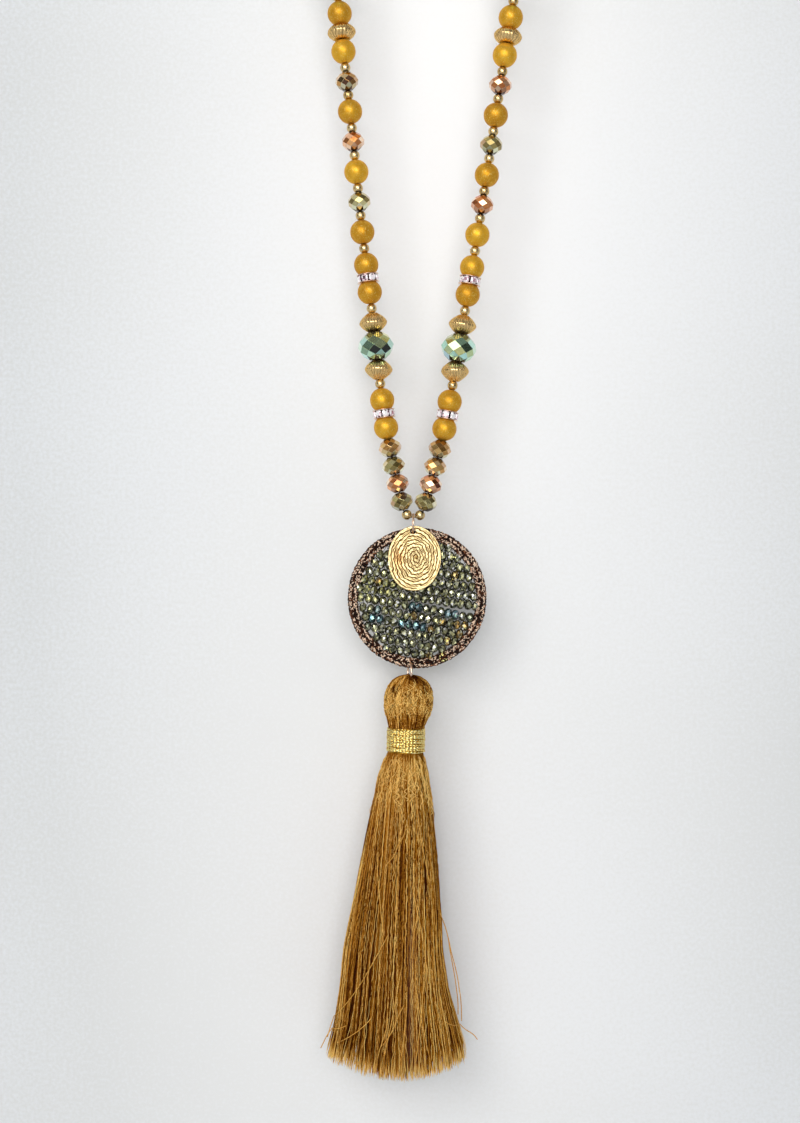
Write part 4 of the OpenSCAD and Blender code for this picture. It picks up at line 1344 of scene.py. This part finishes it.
def silk_core(name, rings, tone, material):
    """The tassel's body under its threads, from rings of points."""
    points, size = np.concatenate(rings), (len(rings), len(rings[0]))
    piece = new_piece(name, points, [grid_faces(*size)[:, ::-1]] + end_faces(*size),
                      {"tone": np.full(len(points), tone)})
    dress(piece, material, "tassel", "ochre_silk", "tassel")


def silk_threads(name, radius, a, z, width, material, sides=3, **marks):
    """Many silk threads as one piece, from their distance, angle and height at each step."""
    marks = {key: np.broadcast_to(numbers, a.shape) for key, numbers in marks.items()}
    piece = tube_piece(name, around_axis(radius, a, z), width, sides, around_axis(1, a, 0.2), **marks)
    dress(piece, material, "tassel", "ochre_silk", "tassel")


class NECKLACE_OT_tassel_head(bpy.types.Operator):
    """Threads drawn over the tassel's head from its top to the binding"""
    bl_idname = "necklace.tassel_head"
    bl_label = "Tassel Head"

    def execute(self, context):
        sizes = context.scene.necklace.tassel
        random = new_random(20)
        top, neck, _, _ = tassel_levels()
        height = top - neck
        shares = np.array([0.0, 0.012, 0.035, 0.07, 0.11, 0.2, 0.3, 0.45, 0.6, 0.75, 0.88, 1.0])
        levels = top - height * shares - 0.02 * MM
        form = Form(levels)
        material = silk(sizes, "head_silk", 2.3)

        a = circle(64)
        rings = [around_axis(form.at(z, a) - 0.7 * MM, a, z) for z in levels[2:]]
        rings[-1][:, 2] -= 1.0 * MM
        # The body under the threads is painted in a dark tone, as shade.
        silk_core("head_body", rings, 0.1, material)

        # Threads fan out over the crown and run into the binding: the ones below are painted dark as shade, the
        # ones on top bright.
        tufts = clumps(random, 7, 90)
        # Name, share of the threads, steps, least and most depth, brightness.
        layers = (("under", 0.62, 16, 0.35, 1.0, 0.16), ("over", 0.38, 40, -0.1, 0.3, 0.58))
        for name, part, steps, least, most, bright in layers:
            count = int(sizes.head_threads * part)
            t = np.linspace(0, 1, steps)
            swell = np.sin(math.pi * held(t * 1.05))
            a = random.uniform(0, TURN, (count, 1)) + tangle(random, count, steps, 0.05, (0.5, 1.5, 4))
            a = a + tangle(random, count, steps, 0.07, (8, 13)) * swell ** 2
            fall = (0.5 - 0.5 * np.cos(math.pi * t)) * 0.45 + 0.55 * t ** 1.7
            z = top - 0.1 * MM - (height + 0.3 * MM) * fall
            deep = random.uniform(least, most, (count, 1))
            tuft = tufts(fall, a) * swell
            radius = form.at(z, a) + (0.34 * tuft - 0.62 * deep + 0.05) * MM
            radius = radius + tangle(random, count, steps, 0.1 * MM, (2, 5, 11)) * swell
            radius = np.maximum(radius, 0.35 * MM)
            radius[:, 0] = random.uniform(0.3, 0.9, count) * MM
            # Threads in the hollow at the front right of the crown, and along the seams between the locks, are
            # painted darker as shade.
            hollow = bell(off_line(a, math.radians(-62)), 0.3 ** 0.5) * bell(t - 0.12, 0.13)
            tone = random.normal(bright, 0.3, (count, 1)) + 0.26 * tuft - 0.75 * hollow
            tone = tone - 0.25 * held(1 - t * 5) - 0.2 * held((t - 0.7) * 6)
            seam = lock_lines(a, fall)
            radius = radius - (0.5 * hollow + 0.8 * seam) * MM
            silk_threads(f"head_threads_{name}", radius, a, z, sizes.thread * 0.5, material,
                         tone=held(tone - 1.1 * seam))

        # Frizz: short curled ends that stand off the middle of the head.
        count, steps = 760, 14
        t = np.linspace(0, 1, steps)
        a = random.uniform(0, TURN, (count, 1)) + tangle(random, count, steps, 0.05, (1, 2, 4))
        start = random.beta(3, 2.4, (count, 1)) * 0.62 + 0.06
        fall = start + random.uniform(0.1, 0.22, (count, 1)) * t
        z = top - height * fall + tangle(random, count, steps, 0.16 * MM, (2, 4))
        radius = form.at(z, a) + (0.1 + 0.3 * np.sin(math.pi * t) - 0.5 * lock_lines(a, fall)) * MM
        radius = radius + tangle(random, count, steps, 0.12 * MM, (2, 3))
        tone = random.normal(0.93, 0.42, (count, 1)) - 0.5 * held(0.3 - start)
        silk_threads("head_frizz", radius, a, z, sizes.thread * 0.29, material, tone=np.clip(tone, 0, 1.3))
        return {"FINISHED"}


def lock_lines(a, fall):
    """Two seams down the head, where a lock lies over the rest at its right and at its left."""
    seams = bell(off_line(a, -0.66), 0.09) + 0.6 * bell(off_line(a, -2.45), 0.09)
    return seams * held(fall * 6 - 0.6) * held((0.75 - fall) * 6)


def silk(sizes, name, frizz):
    """Silk. frizz is how much the light breaks up along each thread."""
    finish = Finish(name)
    streak = finish.noise(0.8, 2, finish.stretched(1, 1, 0.08))
    speck = finish.noise(0.24, 2, finish.stretched(1, 1, 0.5), 0.7)
    fine = finish.noise(0.09, 2, finish.stretched(1, 1, 0.08))
    cloud = finish.noise(5, 2, finish.stretched(1, 1, 0.3))
    # The tone that each thread holds carries painted light: dark for the body and for threads deep in the
    # tassel, as shade, lighter for threads on top, and light at the hem's tips.
    light = finish.value("tone") + streak * 0.3 + cloud * 0.25 - 0.275 + (speck - 0.5) * frizz
    colour = finish.ramp(finish.range(light, 0, 1.2), [
        (0.0, "341406"), (0.24, sizes.silk_dark), (0.46, sizes.silk), (0.68, sizes.silk_light),
        (0.92, "FCD47C")])
    colour = finish.mix(finish.value("cool"), colour, "7E584A")
    return finish.finish(Base_Color=colour, Roughness=finish.range(fine, 0.3, 0.7, 0.5, 0.7),
                         Specular_IOR_Level=0.0, Normal=finish.bump(fine, 0.02, 0.5))


# Strays over the skirt, seen from the front: how far along the skirt each starts and ends, its place to the
# left or right there, as a share of the skirt's half width, and how far it bows to the right between them.
STRAYS = [
    (0.22, 0.345, 0.0, -0.5, 0.0), (0.55, 0.9, -0.36, -1.08, -0.1), (0.8, 0.91, -0.58, -1.0, 0.0),
    (0.76, 0.88, 0.05, -0.35, 0.0), (0.35, 0.62, 0.5, 0.2, 0.0), (0.1, 0.4, 0.3, 0.7, 0.0),
    (0.49, 0.84, 0.95, 1.06, 0.13), (0.5, 0.82, 0.97, 1.03, 0.1), (0.66, 0.94, -0.05, -0.35, 0.0),
    (0.4, 0.7, 0.2, 0.62, 0.05), (0.62, 0.93, 0.55, 0.3, 0.0), (0.7, 0.96, 0.3, 0.62, 0.0),
    (0.82, 0.897, 0.86, 1.27, 0.0), (0.84, 0.935, -0.9, -1.19, 0.0), (0.3, 0.55, -0.7, -0.45, 0.0),
    (0.8, 0.97, -0.3, -0.48, 0.0), (0.72, 0.96, 0.1, -0.06, 0.04),
]


class NECKLACE_OT_tassel_skirt(bpy.types.Operator):
    """Hanging silk threads below the binding, with a few strays"""
    bl_idname = "necklace.tassel_skirt"
    bl_label = "Tassel Skirt"

    def execute(self, context):
        sizes = context.scene.necklace.tassel
        random = new_random(21)
        _, _, foot, hem = tassel_levels()
        drop = foot - hem
        form = Form(foot - drop * np.array([0.0, 0.03, 0.08, 0.16, 0.26, 0.38, 0.5, 0.62, 0.74, 0.84, 0.9]))
        material = silk(sizes, "skirt_silk", 0.8)

        # The body is short of the hem, and closes to a narrower foot. It is painted in the darkest tone, as
        # shade.
        a = circle(88)
        levels = foot - drop * np.array([-0.02, 0.03, 0.08, 0.16, 0.26, 0.38, 0.5, 0.62, 0.72, 0.78])
        rings = [around_axis(form.at(min(z, foot), a) - 1.6 * MM, a, z) for z in levels]
        silk_core("skirt_body", rings + [rings[-1] * [0.55, 0.55, 1]], 0.0, material)

        # Layers of threads: bright pairs and thin painted highlights on top, and the ones in the gaps and below
        # painted darker as shade.
        tufts = clumps(random, 12, 120)
        # Name, threads, in a group, steps, least and most depth, brightness, thickness, crinkle.
        layers = (
            ("highlights", 90, 1, 92, -0.012, -0.002, 0.92, 0.45, 0.09),
            ("strands", sizes.skirt_strands * 2, 2, 104, -0.01, 0.01, 0.66, 0.7, 0.1),
            ("gaps", int(sizes.skirt_threads * 0.44), 1, 26, 0.01, 0.06, 0.15, 1.0, 0.02),
            ("inner", int(sizes.skirt_threads * 0.6), 1, 12, 0.06, 0.95, 0.04, 1.25, 0.0),
        )
        for name, count, group, steps, least, most, bright, thick, crinkle in layers:
            groups = count // group
            t = np.append(np.linspace(0, 0.94, steps - 3), [0.965, 0.985, 1.0])
            deep = random.uniform(least, most, (count, 1))
            course = (np.arange(groups) + random.uniform(-0.34, 0.34, groups))[:, None] / groups * TURN
            course = course + random.normal(0, 0.034, (groups, 1)) * t ** 1.3
            course = course + tangle(random, groups, steps, 0.022, (1, 3))
            curl = tangle(random, groups, steps, crinkle, (20, 29))
            course = course + curl * (0.95 - 0.6 * t + 0.5 * np.exp(-t / 0.15))
            beside = (np.arange(count) % group - (group - 1) / 2)[:, None]
            a = np.repeat(course, group, axis=0) + beside * 0.5 * TURN / groups
            a = a + tangle(random, count, steps, crinkle * 0.35, (20, 29))
            a = a + random.normal(0, 0.035, (count, 1)) * held(t * 4 - 3)
            shorter = 0.034 * random.uniform(0, 1, (count, 1)) ** 1.4
            z = foot + 0.4 * MM - drop * (0.993 - hem_rise(a[:, -1:])) * (1 - shorter) * t
            radius = form.at(z, a) * (1 - deep * (0.12 + 0.88 * t))
            radius = radius * (1 - 0.025 * fold(a) * held(t * 4 - 0.4))
            splay = random.uniform(0.0, 0.085, (count, 1)) * held(t * 9 - 8) ** 1.4
            radius = radius * (1 + 0.035 * held(t * 4 - 3) ** 1.5 + splay)
            radius = radius + (0.22 * tufts(t, a) * np.clip(t * 3, 0.3, 1) - 0.1) * MM
            loose = np.sin(math.pi * held(t * 0.92))
            radius = radius + tangle(random, count, steps, 0.1 * MM, (1, 3)) * loose
            tone = np.repeat(random.normal(bright, 0.13, (groups, 1)), group, axis=0)
            tone = tone + random.normal(0, 0.1, (count, 1)) + 0.36 * beside + 0.06 * tufts(t, a)
            tone = tone + tangle(random, count, steps, crinkle * 5, (22, 31))
            # In the fold the threads are painted darker, as shade, and further down a cooler purplish brown;
            # near the top of the skirt they are lighter.
            tone = tone - 0.1 * fold(a) * held(t * 4 - 1) + 0.28 * held(1 - t * 3.2)
            # The threads' tips at the hem are painted light, as if lit through from behind.
            golden = held((t - random.uniform(0.94, 0.98, (count, 1))) / 0.03)
            tone = tone + (random.normal(1.14, 0.2, (count, 1)) - tone) * golden
            width = sizes.thread * 0.5 * thick * np.where(t > 0.99, 0.35, 1 - 0.22 * held(t * 3 - 2))
            cool = 0.3 * fold(a) * held(t * 4 - 1.4) * random.uniform(0, 1.5, (count, 1))
            silk_threads(f"skirt_{name}", radius, a, z, width, material,
                         tone=np.clip(tone, 0, 1.25), cool=cool)

        # Frizz below the binding.
        count, steps = 460, 14
        t = np.linspace(0, 1, steps)
        a = random.uniform(0, TURN, (count, 1)) + tangle(random, count, steps, 0.04, (1, 2, 4))
        start = random.beta(1.2, 3, (count, 1)) * 0.22
        z = foot - drop * (start + random.uniform(0.02, 0.06, (count, 1)) * t)
        radius = form.at(z, a) + (0.05 + 0.3 * np.sin(math.pi * t)) * MM
        radius = radius + tangle(random, count, steps, 0.1 * MM, (2, 3))
        tone = np.clip(random.normal(1.0, 0.2, (count, 1)), 0, 1.2)
        silk_threads("skirt_frizz", radius, a, z, sizes.thread * 0.3, material, tone=tone)

        # Strays lie over the front, and as many over the back.
        t = np.linspace(0, 1, 22)
        strays = []
        for side in (-1, 1):
            for begin, end, first, last, bow in STRAYS:
                place = first + (last - first) * t ** random.uniform(0.9, 1.2) + bow * 4 * t * (1 - t)
                place = place * (1 if side < 0 else random.uniform(-0.85, 0.85))
                place = place + tangle(random, 1, len(t), 0.012, (1, 2))[0]
                z = foot - drop * (begin + (end - begin) * t)
                a = side * np.arccos(np.clip(place, -1, 1))
                over = np.maximum(np.abs(place) - 1, 0) * drop * 0.2
                strays.append((form.at(z, a) + over + (0.35 + 0.25 * np.sin(math.pi * t)) * MM, a, z))
        radius, a, z = np.array(strays).transpose(1, 0, 2)
        silk_threads("skirt_strays", radius, a, z, sizes.thread * 0.42, material, sides=4, tone=0.86)
        return {"FINISHED"}


def hem_rise(a):
    """How much shorter threads are at the sides of the hem, as a share of the skirt."""
    return 0.028 * np.cos(a) ** 2


def fold(a):
    """A fold that runs down the front of the skirt, to the right of its middle, and one at its back."""
    return bell(off_line(a, math.radians(-76)), 0.13) + bell(off_line(a, math.radians(110)), 0.15)


# Crimps of the binding's thread in each of its turns.
CRIMPS = 31


class NECKLACE_OT_binding(bpy.types.Operator):
    """Crimped metallic thread wound round the tassel's neck"""
    bl_idname = "necklace.binding"
    bl_label = "Binding"

    def execute(self, context):
        sizes = context.scene.necklace.tassel
        random = new_random(22)
        low, high = (np.array(corner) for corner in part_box("binding"))
        middle = [(low[0] + high[0]) / 2, 0, 0]
        radius = (high[0] - low[0]) / 2 - 0.3 * MM
        steps = 232
        s = np.arange(sizes.lurex_turns * steps + 1)
        lap = s / steps * TURN
        fall = high[2] - sizes.lurex / 2 - (high[2] - low[2] - sizes.lurex) * s / s[-1]
        paths, ups, tones = [], [], []
        for layer in (0, 1):
            a = lap if layer else -lap
            wander = tangle(random, 1, len(s), 9.0, (40, 90, 210))[0]
            crimp = np.sin(lap * CRIMPS + 2.4 * np.sin(s / steps * 2.1) + wander)
            z = fall + (0.11 * crimp + 0.16 * np.sin(a * 2.3 + layer)) * MM
            z = z + tangle(random, 1, len(s), 1.2 * MM, (60, 150))[0]
            r = radius + 0.12 * MM * np.cos(lap * CRIMPS + layer) + random.normal(0, 0.03 * MM, len(s))
            r = r + (0.08 * np.sin(s * 0.37 + layer) * np.sin(s * 0.083) + 0.1 * layer) * MM
            paths.append(around_axis(r, a, z) + middle)
            ups.append(around_axis(1, a, 0))
            # The outer layer of turns is painted lighter than the inner one, which lies in shade, and each turn
            # lighter and darker along its crimps, as painted light.
            tones.append(0.42 + 0.6 * layer + 0.35 * crimp + random.normal(0, 0.25, len(s)))
        turns = tube_piece("binding_turns", np.array(paths), sizes.lurex * 0.38, 6, np.array(ups), flat=0.6,
                           tone=np.array(tones))
        # A dark sleeve under the turns, as painted shade between them.
        inner, outer = radius - 0.35 * MM, radius - 0.02 * MM
        points, faces = turned([[inner, low[2]], [outer, low[2]], [outer, high[2]], [inner, high[2]]], 64)
        marks = {"tone": np.full(len(points), -0.1)}
        under = new_piece("binding_under", points + middle, [faces], marks, sharp=40)
        for piece in (turns, under):
            dress(piece, gold_lurex(sizes), "tassel", "gold_lurex", "binding")
        return {"FINISHED"}


def gold_lurex(sizes):
    finish = Finish("gold_lurex")
    crimp = finish.noise(0.28, 3, roughness=0.75)
    light = finish.range(crimp * 1.3 + finish.value("tone") * 0.4, 0.45, 1.25)
    colour = finish.ramp(light, [
        (0.0, "4E300A"), (0.34, "C8942E"), (0.66, sizes.lurex_gold), (0.88, "FFF8B0")])
    return finish.finish(Base_Color=colour, Metallic=1.0, Roughness=0.27,
                         Normal=finish.bump(crimp, 0.08, 0.7))


# Stage

class NECKLACE_OT_stage(bpy.types.Operator):
    """Wall, floor, lights and camera"""
    bl_idname = "necklace.stage"
    bl_label = "Stage"

    def execute(self, context):
        stage = context.scene.necklace.stage
        low, _ = CAD_BOX
        bpy.ops.object.select_all(action="DESELECT")
        planes = []
        for name, size, spot, tip in (("wall", 4, (0.012, stage.wall_back, -0.2), 90),
                                      ("floor", 6, (0, 0, low[2] - stage.floor_drop), 0)):
            bpy.ops.mesh.primitive_plane_add(size=size, location=spot, rotation=(math.radians(tip), 0, 0))
            planes.append(bpy.context.object)
            planes[-1].name = name
            planes[-1].data.materials.append(wall_paint(stage, one_sided=name == "wall"))

        camera = bpy.data.objects.new("camera", bpy.data.cameras.new("camera"))
        context.collection.objects.link(camera)
        camera.location = (stage.camera_side, -stage.camera_distance, stage.camera_height)
        camera.rotation_euler = (math.radians(90), -stage.camera_roll, 0)
        camera.data.lens = stage.lens
        camera.data.sensor_width = 36
        camera.data.clip_start = 0.01
        context.scene.camera = camera

        # Name, place from the middle of the picture, size, power and colour of each light.
        middle = Vector((0, 0, stage.camera_height))
        for name, spot, size, power, colour in (
                ("key", (-0.5, -1.25, 0.5), 1.0, 8.6, (1.0, 0.985, 0.96)),
                ("fill", (-0.9, -1.1, -0.5), 0.9, 3.4, (0.95, 0.98, 1.0)),
                ("front", (0.1, -1.6, 0.2), 0.8, 9.3, (1.0, 1.0, 1.0))):
            light = bpy.data.objects.new(name, bpy.data.lights.new(name, "AREA"))
            context.collection.objects.link(light)
            light.data.shape = "DISK"
            light.data.size = size
            light.data.energy = power
            light.data.color = colour
            light.location = middle + Vector(spot)
            light.rotation_euler = (-Vector(spot)).to_track_quat("-Z", "Y").to_euler()
        context.scene.world = studio()
        context.scene.view_settings.view_transform = "Standard"
        return {"FINISHED"}


def studio():
    """A bright room with soft patches, darker to the right, and a plain backdrop for the camera."""
    room = Finish("studio", bpy.data.worlds.new("studio"))
    place = room.node("ShaderNodeTexCoord", out="Generated")
    patches = room.node("ShaderNodeTexNoise", {}, {"Vector": place, "Scale": 1.7, "Detail": 1.5})
    right = room.vector("DOT_PRODUCT", place, (0.84, -0.52, -0.12))
    colour = room.ramp(patches - room.range(right, 0.72, 1.0, 0, 0.34), [
        (0.34, "2E2620"), (0.46, "A8A8AC"), (0.6, "FFFFFF")])
    around = room.node("ShaderNodeBackground", {}, {"Color": colour, "Strength": 0.68})
    plain = room.node("ShaderNodeBackground", {}, {"Color": "E6E9EC"})
    seen = room.node("ShaderNodeLightPath", out="Is Camera Ray")
    return room.end(room.node("ShaderNodeMixShader", {}, {0: seen, 1: around, 2: plain}), "World")


def wall_paint(stage, one_sided):
    """Plain paint; the wall also has pools of painted light, lighter round its middle above the necklace and
    round a spot low down under the tassel. The wall is painted on its front alone, so that it hides nothing
    from behind.
    """
    finish = Finish("wall_paint" if one_sided else "floor_paint")
    cloud = finish.noise(1.2) + finish.noise(160, 1)
    colour = finish.mix(finish.range(cloud, 0.8, 1.2), stage.wall_colour, "D8DBDE")
    if one_sided:
        # Painted light: two pools of light painted on the wall.
        away = finish.vector("LENGTH", finish.stretched(1, 0.28, 1))
        colour = finish.mix(finish.range(away, 0.01, 0.155, 0.86, 0), colour, "FAFAFA")
        low = finish.vector("DISTANCE", finish.stretched(0.35, 0.28, 1), (0, -0.115, 0))
        colour = finish.mix(finish.range(low, 0, 0.075, 0.44, 0), colour, "FAFAFA")
    paint = finish.shader(Base_Color=colour, Roughness=0.9)
    if one_sided:
        behind = finish.node("ShaderNodeNewGeometry", out="Backfacing")
        clear = finish.node("ShaderNodeBsdfTransparent")
        paint = finish.node("ShaderNodeMixShader", {}, {0: behind, 1: paint, 2: clear})
    return finish.end(paint)


class NECKLACE_PT_panel(bpy.types.Panel):
    bl_label = "Tassel Necklace"
    bl_idname = "NECKLACE_PT_panel"
    bl_space_type = "VIEW_3D"
    bl_region_type = "UI"
    bl_category = "Necklace"

    def draw(self, context):
        settings = context.scene.necklace
        for group in (settings.beads, settings.pendant, settings.tassel, settings.stage):
            box = self.layout.box()
            for name in group.bl_rna.properties.keys():
                if name not in ("rna_type", "name"):
                    box.prop(group, name)
        for step in STEPS:
            self.layout.operator(step.bl_idname)


STEPS = (
    NECKLACE_OT_painted_beads, NECKLACE_OT_spacer_beads, NECKLACE_OT_crystals, NECKLACE_OT_fluted_beads,
    NECKLACE_OT_rondelles, NECKLACE_OT_thread, NECKLACE_OT_jump_rings, NECKLACE_OT_hoop,
    NECKLACE_OT_bead_rows, NECKLACE_OT_charm, NECKLACE_OT_tassel_head, NECKLACE_OT_tassel_skirt,
    NECKLACE_OT_binding, NECKLACE_OT_stage,
)
CLASSES = (
    NecklaceBeads, NecklacePendant, NecklaceTassel, NecklaceStage, NecklaceSettings, *STEPS, NECKLACE_PT_panel,
)


def register():
    for each in CLASSES:
        bpy.utils.register_class(each)
    bpy.types.Scene.necklace = bpy.props.PointerProperty(type=NecklaceSettings)


def unregister():
    del bpy.types.Scene.necklace
    for each in reversed(CLASSES):
        bpy.utils.unregister_class(each)


def main():
    register()
    for step in STEPS:
        group, name = step.bl_idname.split(".")
        getattr(getattr(bpy.ops, group), name)()


if __name__ == "__main__":
    main()
